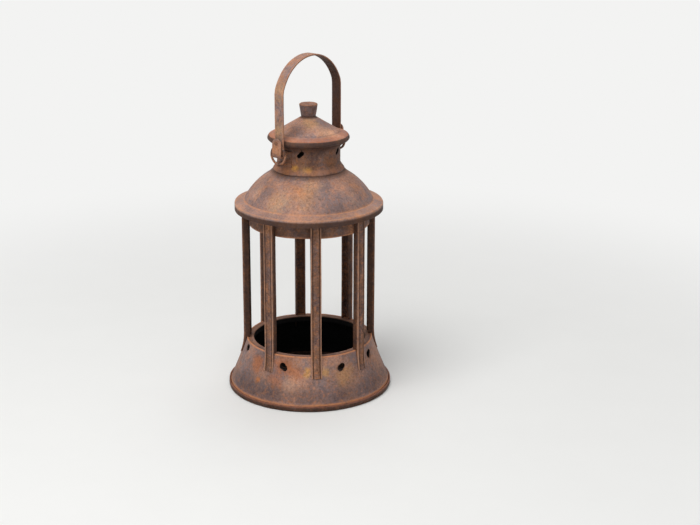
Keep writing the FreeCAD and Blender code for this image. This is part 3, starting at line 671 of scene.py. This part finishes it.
def make_skirt():
    """Flared skirt with a torn double hole in six of the eight bays between the bars."""
    thing = lathe("skirt_sheet", sheet_outline(skirt_line(), TIN))
    wobble(thing, amount=0.35, size=26.0, seed=1)
    tools = []
    centres = []
    for index, (azimuth, height) in enumerate(zip(HOLE_PLACES, HOLE_HEIGHTS)):
        tools.append(prism("hole_tool", ragged_hole(index), azimuth, height, reach=(50.0, 90.0)))
        centres.append(place(azimuth, skirt_radius_at(height), height))
    # The punch has pressed the sheet in round each hole
    for vertex in thing.data.vertices:
        point = vertex.co / MM
        nearest = min((point - centre).length for centre in centres)
        if nearest < 9.0:
            vertex.co -= outward(point) * PUNCH_DENT * fall(nearest, 2.0, 8.0) * MM
    cut(thing, tools)
    # Worn rim at the mouth and worn line at the foot, both also painted highlight lines
    mouth_edge = near_rule([(MOUTH_RADIUS, MOUTH_HEIGHT), (MOUTH_RADIUS - TIN, MOUTH_HEIGHT)], 1.6)
    foot_edge = near_rule([(SKIRT_RADIUS - 0.1, 6.0)], 1.7)

    # Greyer and darker from the skirt's middle down to just above its foot
    def wash(point):
        return fall(point.z, 12.0, 27.0) * fall(6.0 - point.z, -3.0, 0.0)

    def wear(point):
        return max(mouth_edge(point), foot_edge(point))

    # Black on the inner face: soot and painted shade inside the mouth
    def soot(point):
        inside = skirt_radius_at(point.z) - off_axis(point)
        return fall(TIN - inside, 0.1, 0.65) * fall(point.z, MOUTH_HEIGHT - 0.9, MOUTH_HEIGHT - 0.2)

    # Darker round the holes, and painted shade at the foot where it meets the tray
    def grime(point):
        nearest = min((point - centre).length for centre in centres)
        return max(0.4 * fall(nearest, 3.4, 5.0), 0.9 * fall(point.z, 4.6, 5.3))

    return paint(thing, wash=wash, wear=wear, soot=soot, grime=grime)


def make_mouth_ring():
    """Ring in the skirt's mouth with a short lip turned down inside."""
    line = even_steps([(RING_BORE, RING_FOOT), (RING_BORE, RING_HEAD)], 0.7) + [(RING_OUTER - 0.3, RING_HEAD)]
    thing = lathe("mouth_ring_sheet", sheet_outline(line, THIN_TIN, 0.5))
    # Worn edge at the bore, also a painted highlight; the lip turned down is near black, soot and painted
    # shade
    return paint(thing, wear=near_rule([(RING_BORE, RING_HEAD)], 1.6),
                 soot=lambda p: 0.995 * fall(p.z, RING_HEAD - 1.3, RING_HEAD - 0.5))


def make_collar():
    """Band behind the heads of the bars."""
    line = even_steps([(COLLAR_RADIUS, COLLAR_HEAD), (COLLAR_RADIUS, COLLAR_FOOT)], 2.0)
    thing = lathe("collar_band", sheet_outline(line, TIN))
    # Only the foot of the band is uneven, since its head lies inside the roof
    for vertex in thing.data.vertices:
        point = vertex.co / MM
        share = fall(point.z, COLLAR_FOOT, COLLAR_FOOT + 14.0)
        vertex.co += outward(point) * noise.noise(point / 21.0 + Vector((3, 8, 1))) * 0.35 * share * MM
        vertex.co.z += noise.noise(point / 17.0 + Vector((5, 1, 6))) * 0.4 * share * MM
    # Worn lower edge, also a painted highlight; black inner face, soot and painted shade; painted shade under
    # the roof
    return paint(thing, wear=near_rule([(COLLAR_RADIUS, COLLAR_FOOT)], 1.1),
                 soot=lambda p: fall(off_axis(p), COLLAR_RADIUS - 0.8, COLLAR_RADIUS - 0.35),
                 grime=lambda p: 0.8 * fall(186.0 - p.z, 4.0, 15.0))


def make_roof():
    """Edge band, brim and dome in one sheet."""
    foot = (DOME_RADIUS, DOME_FOOT)
    dome = arc((DOME_BORE, DOME_HEAD), foot, DOME_CURVE, -1, 40)
    line = [(DOME_BORE, DOME_HEAD), (DOME_SHOULDER, NECK_SEAM + 0.1)]
    line += [point for point in dome if point[0] > DOME_SHOULDER + SHOULDER_WIDTH]
    brim_edge = (BRIM_RADIUS - TIN - SHEET_BEND, BRIM_HEAD)
    band_head = (BRIM_RADIUS, BRIM_HEAD - TIN - SHEET_BEND)
    line += even_steps([foot, brim_edge], 1.2)[1:]
    line += arc(brim_edge, band_head, TIN + SHEET_BEND, -1, 5)
    line += even_steps([band_head, (BRIM_RADIUS, BAND_FOOT)], 1.2)[1:]
    thing = lathe("roof_sheet", sheet_outline(line, TIN))
    wobble(thing, amount=0.45, size=30.0, seed=4)
    # Worn lines at the dome's foot, the band's edge and on the brim, which are also painted highlights
    fold_edge = near_rule([foot], 1.5)
    band_edge = near_rule([(BRIM_RADIUS - 0.7, BRIM_HEAD - 0.4)], 1.3)

    def wear(point):
        brim = 0.18 * fall(DOME_RADIUS - off_axis(point), -1.5, -0.5) * fall(BRIM_HEAD - point.z, 0.2, 0.6)
        return max(fold_edge(point), 0.7 * band_edge(point), brim)

    # Painted shade inside the band's foot and in the seam round the neck, with some dirt
    def grime(point):
        radius = off_axis(point)
        under = fall(point.z, BAND_FOOT + 4.0, BAND_FOOT + 5.6) * fall(BRIM_RADIUS - radius, 0.6, 2.0)
        return max(under, 0.9 * fall(radius - NECK_FOOT_RADIUS, 0.1, 1.1))

    # The inner face is black: soot and painted shade
    return paint(thing, wear=wear, soot=lining_rule(line, TIN, 0.5), grime=grime)


def neck_line():
    """Outer line of the neck from its lip to its foot."""
    under = NECK_HEAD - THIN_TIN
    line = [(NECK_LIP_RADIUS, under), (NECK_LIP_RADIUS - NECK_LIP_WIDTH, under)]
    line += [(NECK_WAIST, NECK_WAIST_HEAD)]
    line += even_steps([line[-1], (NECK_WAIST, NECK_WAIST_FOOT)], 1.5)[1:]
    return line + even_steps(list(NECK_FLARE), 0.9) + [(NECK_FOOT_RADIUS, NECK_SEAM)]


def slot_outline():
    """A slot with round, slightly uneven ends, slanted up to the right."""
    half = (SLOT_LENGTH - SLOT_WIDTH) / 2
    turn = radians(SLOT_SLANT)
    outline = []
    for side in (1, -1):
        for step in range(13):
            angle = pi * step / 12 - side * pi / 2
            reach = SLOT_WIDTH / 2 * (1 + 0.08 * sin(step * 2.1 + side))
            x = side * half + reach * cos(angle)
            y = reach * sin(angle)
            outline.append((x * cos(turn) - y * sin(turn), x * sin(turn) + y * cos(turn)))
    return outline


def make_neck():
    """Neck with slanted slots, its foot flared on the dome."""
    line = neck_line()
    thing = lathe("neck_sheet", sheet_outline(line, THIN_TIN))
    wobble(thing, amount=0.25, size=17.0, seed=7)
    cut(thing, [prism("slot_tool", slot_outline(), azimuth, SLOT_HEIGHT, reach=(20.0, 40.0))
                for azimuth in SLOT_PLACES])
    # Worn flare at the foot, also a painted highlight
    flare = near_rule([(NECK_FOOT_RADIUS - 1.6, NECK_SEAM + 3.4)], 4.0)

    # Painted shadow under the cap and painted shade in the seam at the foot
    def grime(point):
        return max(0.85 * fall(NECK_HEAD - point.z, 2.0, 9.0), 0.95 * fall(point.z - NECK_SEAM, 0.3, 1.1))

    # The inner face is black: soot and painted shade
    return paint(thing, wear=lambda p: 0.55 * flare(p), soot=lining_rule(line, THIN_TIN, 0.45), grime=grime)


def make_cap():
    """Cone with a turned-down edge and a hem."""
    line = even_steps([(CAP_TIP_RADIUS, CAP_HEAD), (CAP_FOLD_RADIUS, CAP_FOLD)], 1.5)
    line += even_steps([line[-1], (CAP_LIP_RADIUS, CAP_LIP)], 1.0)[1:]
    line += arc(line[-1], (CAP_RADIUS, CAP_RIM_HEAD), CAP_LIP_CURVE, -1, 6)
    line += [(CAP_RADIUS, CAP_RIM_FOOT), (CAP_HEM_RADIUS, CAP_FOOT), (CAP_HEM_BORE, CAP_FOOT)]
    thing = lathe("cap_sheet", sheet_outline(line, THIN_TIN, 0.6))
    wobble(thing, amount=0.3, size=20.0, seed=11, lift=0.5)
    lip_edge = near_rule([(CAP_LIP_RADIUS, CAP_LIP)], 1.1)

    # Worn strip and lip edge, also painted highlights
    def wear(point):
        radius = off_axis(point)
        strip = fall(CAP_FOLD_RADIUS - radius, -0.8, 0.4) * fall(radius, CAP_LIP_RADIUS, CAP_LIP_RADIUS + 0.6)
        return max(0.6 * strip, lip_edge(point)) if point.z > CAP_LIP - 1 else 0.0

    # Painted shade on the steep lip, along the fold, under the rim and round the knob's seat
    def grime(point):
        radius = off_axis(point)
        lip = fall(CAP_LIP_RADIUS - radius, -0.8, -0.3)
        fold = 0.4 * fall(abs(radius - CAP_FOLD_RADIUS + 0.9), 0.2, 1.0) * fall(CAP_FOLD - point.z, 2, 3)
        under = 0.9 * fall(point.z, CAP_RIM_FOOT - 0.4, CAP_RIM_FOOT + 0.6)
        knob_seat = 0.8 * fall(radius - KNOB_NECK, 0.3, 1.8) * fall(CAP_HEAD - point.z, 5, 6)
        return max(lip, fold, under, knob_seat)

    return paint(thing, wear=wear, grime=grime)


def make_knob():
    """Tapered grip with a slightly dished top."""
    outline = [(0.0, KNOB_FOOT + 1.6), (KNOB_NECK - 0.6, KNOB_FOOT), (KNOB_RADIUS, KNOB_HEAD - 0.6)]
    outline = even_steps(outline, 1.2)
    outline += [(KNOB_RADIUS - 0.8, KNOB_HEAD), (KNOB_RADIUS - 2.2, KNOB_HEAD - 0.25)]
    outline += [(0.0, KNOB_HEAD - 0.35)]
    thing = lathe("knob_grip", rounded(outline, 0.5), KNOB_AROUND)
    wobble(thing, amount=0.22, size=5.0, seed=15)
    edge = near_rule([(KNOB_RADIUS - 0.3, KNOB_HEAD - 0.2)], 1.1)
    # Worn top edge and a lighter flat top, painted highlights as well as wear; painted shade at the foot
    return paint(thing, wear=lambda p: max(edge(p), 0.5 * fall(KNOB_HEAD - p.z, 0.4, 0.9)),
                 grime=lambda p: 0.9 * fall(p.z - KNOB_FOOT, 0.4, 3.0))


def bar_section():
    """Closed section of a bar: across and behind the face, with grooved strips and inner flanges."""
    half = BAR_WIDTH / 2
    strip = half - BAR_STRIP
    cheek = half - TIN
    groove = BAR_GROOVE + 0.1
    web = BAR_GROOVE + TIN
    outline = [
        (-half, 0), (-strip - 0.35, 0), (-strip - 0.1, groove), (-strip + 0.15, groove),
        (-strip + 0.45, 0.12), (strip - 0.45, 0.12),
        (strip - 0.15, groove), (strip + 0.1, groove), (strip + 0.35, 0), (half, 0),
        (half, 1.0), (half, 2.4), (half, BAR_DEPTH), (cheek, BAR_DEPTH), (cheek, web),
        (-cheek, web), (-cheek, BAR_DEPTH), (-half, BAR_DEPTH), (-half, 2.4), (-half, 1.0),
    ]
    return rounded(outline, 0.32, steps=2, least_turn=40.0)


def roof_under(radius):
    """Height of the roof's underside at a radius beyond the dome's foot, or of that foot further in."""
    if radius < DOME_RADIUS - 1.0:
        return DOME_FOOT
    drop = (radius - DOME_RADIUS) * (DOME_FOOT - BRIM_HEAD) / (BRIM_RADIUS - DOME_RADIUS)
    return DOME_FOOT - drop - 1.5


class Bar:
    """Place, lean and twist of one bar, and the rules for its wear and painted highlights, its dirt and
    painted shade, and its soot and painted shade.
    """

    def __init__(self, index):
        self.index = index
        self.foot = BAR_FEET[index]
        lean = radians(BAR_LEANS[index])
        reach = (skirt_radius_at(self.foot) + BAR_PROUD - BAR_RADIUS) / cos(lean)
        self.flare = ((BAR_KNEE - self.foot) ** 2 + reach ** 2) / (2 * reach)
        twist = Matrix.Rotation(radians(BAR_TWISTS[index]), 3, "Z")
        self.out, across = directions(BAR_PLACES[index])
        self.face_out = twist @ self.out
        self.face_across = twist @ across
        self.lean_way = Matrix.Rotation(lean, 3, "Z") @ self.out

    def lean_at(self, height):
        """How far the flared foot leans out at a height."""
        below = min(max(BAR_KNEE - height, 0.0), BAR_KNEE - self.foot)
        return self.flare - sqrt(self.flare ** 2 - below ** 2)

    def corner(self, x, depth, height):
        """A point of the bar, with its slight sway."""
        sway = BAR_SWAY * noise.noise(Vector((self.index * 7.7, height / 46.0, 1.5)))
        middle = self.out * BAR_RADIUS + self.lean_way * self.lean_at(height)
        return middle - self.face_out * depth + self.face_across * (x + sway)

    def foot_height(self, x, depth):
        """Where a line of the section clears the skirt; the face goes down to the foot."""
        height = self.foot
        while depth > BAR_GROOVE + TIN + 0.1 and height < MOUTH_HEIGHT:
            if self.corner(x, depth, height).length > skirt_radius_at(height) - 0.1:
                break
            height += 0.4
        return height

    def local(self, point):
        """Across and depth of a point in the bar's own section."""
        level = Vector((point.x, point.y, 0))
        away = level - self.out * BAR_RADIUS - self.lean_way * self.lean_at(point.z)
        return away.dot(self.face_across), -away.dot(self.face_out)

    def wear(self, point):
        """Worn along the outer edges of the face, with painted highlights there."""
        x, depth = self.local(point)
        return fall(abs(abs(x) - BAR_WIDTH / 2), 0.5, 1.25) * fall(depth, 0.35, 1.2)

    def grime(self, point):
        """Painted shade, with some dirt, in the grooves, at the foot, under the roof and on the cheeks."""
        x, depth = self.local(point)
        groove = fall(abs(abs(x) - (BAR_WIDTH / 2 - BAR_STRIP)), 0.3, 0.75) * fall(depth, 0.7, 1.2)
        foot = 0.8 * fall(point.z - skirt_height_at(point), 0.2, 1.6)
        head = 0.85 * fall(DOME_FOOT - point.z, 3.0, 12.0)
        cheek = 0.85 * fall(BAR_WIDTH / 2 - abs(x), 0.2, 0.5) * fall(-depth, -2.3, -1.0)
        return max(0.9 * groove, foot, head, cheek)

    def soot(self, point):
        """Soot and painted shade in the channel and where the bar dips into the mouth."""
        x, depth = self.local(point)
        channel = 0.35 * fall(-depth, -TIN - 0.3, -TIN + 0.1) * fall(abs(x), 3.6, 4.0)
        within = skirt_radius_at(point.z) - off_axis(point)
        return max(channel, fall(-within, -0.4, 0.0) * fall(point.z, MOUTH_HEIGHT - 2.6, MOUTH_HEIGHT - 0.4))


def make_bar(index):
    """A channel bar, flared at the foot and coped to the skirt and the roof."""
    bar = Bar(index)
    section = bar_section()
    feet = [bar.foot_height(x, depth) for x, depth in section]
    vertices = []
    for level in range(BAR_STEPS + 1):
        height = bar.foot + (DOME_FOOT - bar.foot) * level / BAR_STEPS
        for (x, depth), foot in zip(section, feet):
            z = max(height, foot + level * 0.02)
            point = bar.corner(x, depth, z)
            top = roof_under(off_axis(point))
            if level == BAR_STEPS:
                z = min(height, top)
            elif level > BAR_STEPS - 3:
                z = min(z, top - 0.4 * (BAR_STEPS - level))
            vertices.append((point.x, point.y, z))
    thing = swept("bar_channel_%d" % (index + 1), vertices, len(section))
    return paint(thing, wear=bar.wear, grime=bar.grime, soot=bar.soot)


def make_ring(side):
    """Wire ring, slightly out of round, its ends butted."""
    vertices = []
    turns = 96
    rounds = 14
    for step in range(turns):
        angle = tau * step / turns
        swell = WIRE_UNEVEN * sin(angle * 3 + side)
        uneven = noise.noise(Vector((cos(angle) * 3, sin(angle) * 3, side * 4.0)))
        thick = SEEN_WIRE_RADIUS * (1 + WIRE_UNEVEN * uneven)
        middle = LOOP_RADIUS + WIRE_RADIUS - SEEN_WIRE_RADIUS + swell * WIRE_RADIUS
        for part in range(rounds):
            tilt = tau * part / rounds
            reach = middle + thick * cos(tilt) * WIRE_SHRINK
            x = side * LOOP_PLACE + thick * sin(tilt) * WIRE_SHRINK
            vertices.append((x, reach * sin(angle), SWING_HEIGHT + reach * cos(angle)))
    return swept("wire_ring_left" if side < 0 else "wire_ring_right", vertices, rounds, closed=True)


def bail_path():
    """Middle line of the strap in the XZ plane, from the right tab over the crown to the left one."""
    half_tin = BAIL_THICKNESS / 2
    leg = LOOP_PLACE - WIRE_RADIUS - BAIL_PLAY - half_tin
    tab = BAIL_OUTER - half_tin
    fold = (tab - leg) / 2
    rise = BAIL_CROWN - BAIL_SPRING
    bow = ((leg + half_tin) ** 2 + rise ** 2) / (2 * rise)
    middle = bow - half_tin
    corner_foot = (tab, TAB_TOP - 6.0)
    side = even_steps([(tab, TAB_TOP), corner_foot], 0.3)
    side += even_steps([corner_foot, (tab, SWING_HEIGHT)], 1.2)[1:]
    for step in range(1, 13):
        angle = pi * step / 12
        side.append((LOOP_PLACE + fold * cos(angle), SWING_HEIGHT - fold * sin(angle)))
    centre = BAIL_CROWN - bow
    spring = centre + sqrt(middle ** 2 - leg ** 2)
    side += even_steps([(leg, SWING_HEIGHT), (leg, spring - 2.0)], 4.0)[1:]
    start = asin(leg / middle)
    for angle in [start * 0.965] + [start * (1 - step / 28) for step in range(1, 29)]:
        side.append((middle * sin(angle), centre + middle * cos(angle)))
    return side + [(-x, z) for x, z in side[::-1][1:]]


def make_bail():
    """One flat strap with soft edges, bent and folded."""
    path = bail_path()
    half = BAIL_WIDTH / 2
    thick = BAIL_THICKNESS / 2
    section = rounded([(-half, -thick), (half, -thick), (half, thick), (-half, thick)], 0.45, steps=3)
    section = even_steps(section + [section[0]], 1.4)[:-1]
    vertices = []
    lengths = [0.0]
    for a, b in zip(path, path[1:]):
        lengths.append(lengths[-1] + dist(a, b))
    for index, (x, z) in enumerate(path):
        before = Vector(path[max(index - 1, 0)])
        after = Vector(path[min(index + 1, len(path) - 1)])
        way = (after - before).normalized()
        to_end = min(lengths[index], lengths[-1] - lengths[index])
        narrow = 1.0
        if to_end < TAB_CORNER:
            cutback = sqrt(max(TAB_CORNER ** 2 - (TAB_CORNER - to_end) ** 2, 0.0))
            narrow = (half - TAB_CORNER + cutback) / half
        sway = 0.25 * noise.noise(Vector((x / 24.0, z / 24.0, 4.4))) * min(1.0, to_end / 40.0)
        for y, depth in section:
            edge = 0.12 * noise.noise(Vector((x / 7.0, z / 7.0, y))) if abs(y) > half * 0.8 else 0.0
            wide = y * narrow * BAIL_SHRINK_ACROSS + sway * 0.8 + edge * 0.6
            out_x = way.y * depth * BAIL_SHRINK_THROUGH
            out_z = way.x * depth * BAIL_SHRINK_THROUGH
            vertices.append((x + out_x, min(max(wide, -half), half), z - out_z))
    thing = swept("bail_strap", vertices, len(section))
    rise = BAIL_CROWN - BAIL_SPRING
    bow = ((LOOP_PLACE - BAIL_INSET) ** 2 + rise ** 2) / (2 * rise)
    centre = BAIL_CROWN - bow

    # Darker low down, and painted shade on the inner faces of the crown and the legs
    def grime(point):
        low = 0.5 * fall(point.z, 236.0, 244.0)
        inner = 0.0
        if point.z > BAIL_SPRING:
            inner = fall(hypot(point.x, point.z - centre), bow - 1.45, bow - 0.9)
        elif point.z > SWING_HEIGHT + 6:
            inner = fall(abs(point.x), LOOP_PLACE - 2.65, LOOP_PLACE - 2.1)
        return max(low, inner)

    # Worn edges, also painted edge highlights
    return paint(thing, wear=lambda p: fall(BAIL_WIDTH / 2 - abs(p.y), 0.3, 1.0), grime=grime)


def soften(node, material, width=0.25):
    """Keeps a CAD node, with its edges softened."""
    thing = frame["nodes"][node]
    weld = thing.modifiers.new("weld", "WELD")
    weld.merge_threshold = 0.01 * MM
    bevel = thing.modifiers.new("soft_edges", "BEVEL")
    bevel.width = width * MM
    bevel.segments = 2
    bevel.limit_method = "ANGLE"
    bevel.angle_limit = radians(40)
    bevel.harden_normals = True
    thing.data.materials.clear()
    thing.data.materials.append(material)


# Materials of the pieces. The spots are patches of colour on the tin, and those in the HIGHLIGHT tone are
# painted
# highlights: azimuth, radius and height of the middle, size, tone and share.

rust_roof = rust(
    "rust_roof", MAUVE, PINK_TAN, ochre=0.45, dark=0.35, shift=1.0, grain=0.55, stretch=(1, 1, 0.6),
    edge=(212, 148, 104), depth=0.45, spots=(
        (-112, 56, 203, 9, HIGHLIGHT, 0.4), (-78, 59, 199, 13, OCHRE, 0.45), (-52, 54, 204, 13, GOLD, 0.28),
        (-46, 42, 212, 9, OCHRE, 0.25), (-62, 50, 207, 9, ORANGE, 0.4), (-35, 60, 197, 13, MAUVE, 0.6),
        (-72, 44, 211, 11, PLUM, 0.35), (-40, 40, 214, 10, HIGHLIGHT, 0.3), (-98, 52, 206, 9, SLATE, 0.4),
        (0, 62, 192, 14, GREY, 0.6), (-8, 45, 210, 10, ORANGE, 0.35),
    ))
rust_neck = rust(
    "rust_neck", PLUM, BROWN, ochre=0.2, dark=0.45, shift=2.3, bump=0.3, cloud=0.6, lightness=0.76, spots=(
        (-76, 31.5, 225.2, 3.2, YELLOW, 0.6), (-72, 31.5, 225.0, 3.4, YELLOW, 0.65),
        (-53, 31.5, 224.2, 3.2, YELLOW, 0.5), (-48, 31.5, 224.0, 3.4, YELLOW, 0.6),
        (-58, 31.5, 224.4, 4.5, OCHRE, 0.4), (-25, 32, 222, 8, MAUVE, 0.5), (-90, 32, 222, 7, ORANGE, 0.5),
    ))
rust_cap = rust(
    "rust_cap", MAUVE, PINK_TAN, ochre=0.4, dark=0.3, shift=3.9, grain=0.5, cloud=0.7,
    edge=(176, 104, 66), edge_share=0.8, lightness=1.08, depth=0.5, spots=(
        (-40, 13, 265, 9, OCHRE, 0.6), (-75, 24, 258, 9, PLUM, 0.5), (-12, 24, 258, 10, HIGHLIGHT, 0.6),
        (5, 28, 256, 7, HIGHLIGHT, 0.5),
    ))
rust_knob = rust("rust_knob", PLUM, MAUVE, orange=0.25, ochre=0.3, shift=4.6, grain=0.5, cloud=0.4,
                 lightness=0.86)
rust_collar = rust("rust_collar", PLUM, BROWN, ochre=0.2, shift=5.2, grain=0.7, cloud=0.6,
                   lightness=0.78, depth=0.9)
rust_bars = rust("rust_bars", BROWN, PLUM, dark=0.4, shift=6.1, grain=0.8, bump=0.35,
                 edge=(182, 138, 112), edge_share=0.9, cloud=0.5, lightness=0.95)
# A darker copy of the bars' rust: painted shade on the two bars seen side-on
rust_side_bars = rust("rust_side_bars", BROWN, PLUM, orange=0.4, shift=6.7, grain=0.8,
                      bump=0.35, edge=(140, 96, 72), edge_share=0.8, cloud=0.5, lightness=0.54)
rust_skirt = rust(
    "rust_skirt", MAUVE, PINK_TAN, orange=0.38, ochre=0.2, dark=0.35, shift=7.4,
    edge=(214, 142, 96), edge_share=0.85, lightness=0.84, depth=0.5, spots=(
        (-72, 64, 40, 11, VIVID, 0.6), (-60, 67, 34, 8, VIVID, 0.5), (-64, 72, 24, 10, HIGHLIGHT, 0.5),
        (-80, 73, 20, 7, HIGHLIGHT, 0.3), (-77, 71, 25, 9, VIVID, 0.45), (-98, 66, 36, 10, VIVID, 0.6),
        (-50, 66, 37, 3.6, YELLOW, 0.6), (-51, 67, 33, 3.6, YELLOW, 0.5), (-36, 67, 35, 5.0, YELLOW, 0.5),
        (-20, 69, 28, 10, GOLD, 0.5), (-13, 67, 34, 6, GOLD, 0.3), (-108, 73, 20, 12, SLATE, 0.4),
        (-122, 68, 30, 9, GREY, 0.4), (-30, 76, 13, 15, SLATE, 0.5), (8, 71, 24, 16, SLATE, 0.6),
        (-80, 77, 12, 12, SLATE, 0.5), (-47, 72, 24, 6, PLUM, 0.4), (-93, 72, 22, 3.2, BRIGHT_ORANGE, 0.9),
    ))
rust_tray = rust("rust_tray", ground=(96, 70, 58), second=(112, 80, 66), orange=0.1, ochre=0.0, dark=0.4,
                 shift=8.8, grain=0.5, edge=(170, 112, 90), cloud=0.5, edge_share=0.55, lightness=0.5)
rust_inner = rust("rust_inner", PLUM, BROWN, orange=0.2, dark=0.6, shift=9.3, grain=0.5,
                  lightness=0.8, edge=(160, 122, 104))
rust_bail = rust(
    "rust_bail", MAUVE, PINK_TAN, orange=0.4, ochre=0.5, dark=0.2, shift=10.7, bump=0.3, cloud=0.5,
    edge_share=0.35, lightness=0.92, spots=(
        (-90, 40.5, 262, 9, OCHRE, 0.6), (-90, 40.5, 300, 10, OCHRE, 0.45), (-90, 45, 245, 9, ORANGE, 0.6),
    ))
rust_fitting = rust("rust_fitting", BROWN, DARK_BROWN, orange=0.4, shift=11.9, lightness=0.85)
rust_wire = rust("rust_wire", BROWN, DARK_BROWN, orange=0.6, dark=0.3, shift=12.5, cloud=0.3)
# The candle dish is near black all over: soot and painted shade
soot_dish = rust("soot_dish", SOOT, SOOT, orange=0.0, ochre=0.0, dark=0.0, shift=13.1, grain=0.2)

# The lantern, piece by piece

dress(make_tray(), "base_tray", rust_tray)
dress(make_skirt(), "skirt", rust_skirt)
dress(make_mouth_ring(), "mouth_ring", rust_inner)
dress(make_collar(), "collar", rust_collar)
dress(make_roof(), "roof", rust_roof)
dress(make_neck(), "neck", rust_neck)
dress(make_cap(), "cap", rust_cap, "lid")
dress(make_knob(), "knob", rust_knob, "lid")
dress(make_bail(), "bail_handle", rust_bail, "bail")
dress(make_ring(-1), "ring_left", rust_wire, "ring_left")
dress(make_ring(1), "ring_right", rust_wire, "ring_right")
for bar_index in range(len(BAR_PLACES)):
    # The two side-on bars take the darker copy, as painted shade
    finish = rust_side_bars if bar_index in SIDE_BARS else rust_bars
    dress(make_bar(bar_index), "bar_%d" % (bar_index + 1), finish)
for ear in ("ear_left", "ear_right"):
    soften(ear, rust_fitting)
for rivets in ("ear_rivets", "bail_rivets", "knob_rivet"):
    soften(rivets, rust_fitting, width=0.3)
soften("candle_dish", soot_dish)

# Floor, light and camera; sizes and distances of the floor and the lamps are in metres

FLOOR_SIZE = 14.0
FLOOR_COLOUR = (240, 240, 238)
FLOOR_MOTTLE = 3
FLOOR_FADE = (0.25, 0.8)
BACKDROP_COLOUR = (243, 243, 242)
BACKDROP_STRENGTH = 0.93
SURROUND_STRENGTH = 0.32
AIM = Vector((0, 0, 160 * MM))

# The camera of the photograph, fitted to the outline: distance and height in millimetres, angles in degrees
CAMERA_AZIMUTH = -48.5
CAMERA_DISTANCE = 1373.4
CAMERA_HEIGHT = 566.9
CAMERA_PITCH = 17.885
CAMERA_YAW = 1.655
CAMERA_ROLL = 0.212
IMAGE_WIDTH = 700
FOCAL_PIXELS = 1481.7
SENSOR = 36.0

# Lamps: name, azimuth from the camera's, elevation, distance, size and power
LAMPS = (
    ("key", -34, 60, 1.7, 1.2, 22.0),
    ("fill", 25, 35, 1.9, 1.4, 1.6),
    ("back", 165, 65, 1.8, 1.2, 6.0),
)


def make_floor():
    """A plain pale floor; its far part shows an even tone to the camera, and its near part the shadows."""
    mesh = bpy.data.meshes.new("floor")
    half = FLOOR_SIZE / 2
    corners = [(-half, -half, 0), (half, -half, 0), (half, half, 0), (-half, half, 0)]
    mesh.from_pydata(corners, [], [(0, 1, 2, 3)])
    floor = add_object("floor", mesh)
    material = bpy.data.materials.new("pale_floor")
    tree = Tree(material)
    mottled = tuple(part - FLOOR_MOTTLE for part in FLOOR_COLOUR)
    tree.feed(tree.shader.inputs["Base Color"], tree.mix(tree.noise(60, 3.0, 0.5), FLOOR_COLOUR, mottled))
    tree.feed(tree.shader.inputs["Roughness"], 0.9)
    glow = tree.add("ShaderNodeEmission", {"Color": linear(BACKDROP_COLOUR)})
    away = tree.add("ShaderNodeVectorMath", {0: tree.place}, operation="LENGTH").outputs["Value"]
    share = tree.maths("MULTIPLY", tree.ramp(away, *FLOOR_FADE), tree.seen())
    blend = tree.add("ShaderNodeMixShader", {0: share, 1: tree.shader.outputs[0], 2: glow.outputs[0]})
    tree.links.new(blend.outputs[0], tree.nodes["Material Output"].inputs["Surface"])
    mesh.materials.append(material)


def make_lamp(name, azimuth, elevation, distance, size, power):
    """A soft square lamp that points at the lantern."""
    turn = radians(azimuth)
    lift = radians(elevation)
    way = Vector((sin(turn) * cos(lift), -cos(turn) * cos(lift), sin(lift)))
    data = bpy.data.lights.new(name, "AREA")
    data.shape = "SQUARE"
    data.size = size
    data.energy = power
    lamp = add_object(name, data)
    lamp.location = AIM + way * distance
    lamp.rotation_euler = (-way).to_track_quat("-Z", "Y").to_euler()


def make_world():
    """A plain white surround: near white to the camera and in reflections, softer as a light."""
    world = bpy.data.worlds.new("surround")
    tree = Tree(world)
    tree.feed(tree.shader.inputs["Color"], (1.0, 1.0, 1.0, 1.0))
    strength = tree.scale(tree.seen(), 0.0, 1.0, SURROUND_STRENGTH, BACKDROP_STRENGTH)
    tree.feed(tree.shader.inputs["Strength"], strength)
    bpy.context.scene.world = world


def make_camera():
    """The photograph's point of view."""
    data = bpy.data.cameras.new("camera")
    data.sensor_width = SENSOR
    data.lens = FOCAL_PIXELS * SENSOR / IMAGE_WIDTH
    data.clip_end = 20.0
    camera = add_object("camera", data)
    pitch = radians(CAMERA_PITCH)
    yaw = radians(CAMERA_YAW)
    roll = radians(CAMERA_ROLL)
    ahead = Vector((sin(yaw) * cos(pitch), cos(yaw) * cos(pitch), -sin(pitch)))
    right = ahead.cross(Vector((0, 0, 1))).normalized()
    up = right.cross(ahead)
    rolled_right = right * cos(roll) + up * sin(roll)
    rolled_up = up * cos(roll) - right * sin(roll)
    turn = Matrix.Rotation(radians(CAMERA_AZIMUTH), 4, "Z")
    axes = Matrix((rolled_right, rolled_up, -ahead)).transposed().to_4x4()
    spot = Matrix.Translation(Vector((0, -CAMERA_DISTANCE, CAMERA_HEIGHT)) * MM)
    camera.matrix_world = turn @ spot @ axes
    bpy.context.scene.camera = camera


make_floor()
for lamp_name, off_camera, *lamp_sizes in LAMPS:
    make_lamp(lamp_name, CAMERA_AZIMUTH + off_camera, *lamp_sizes)
make_world()
make_camera()

bpy.context.scene.view_settings.view_transform = "Standard"
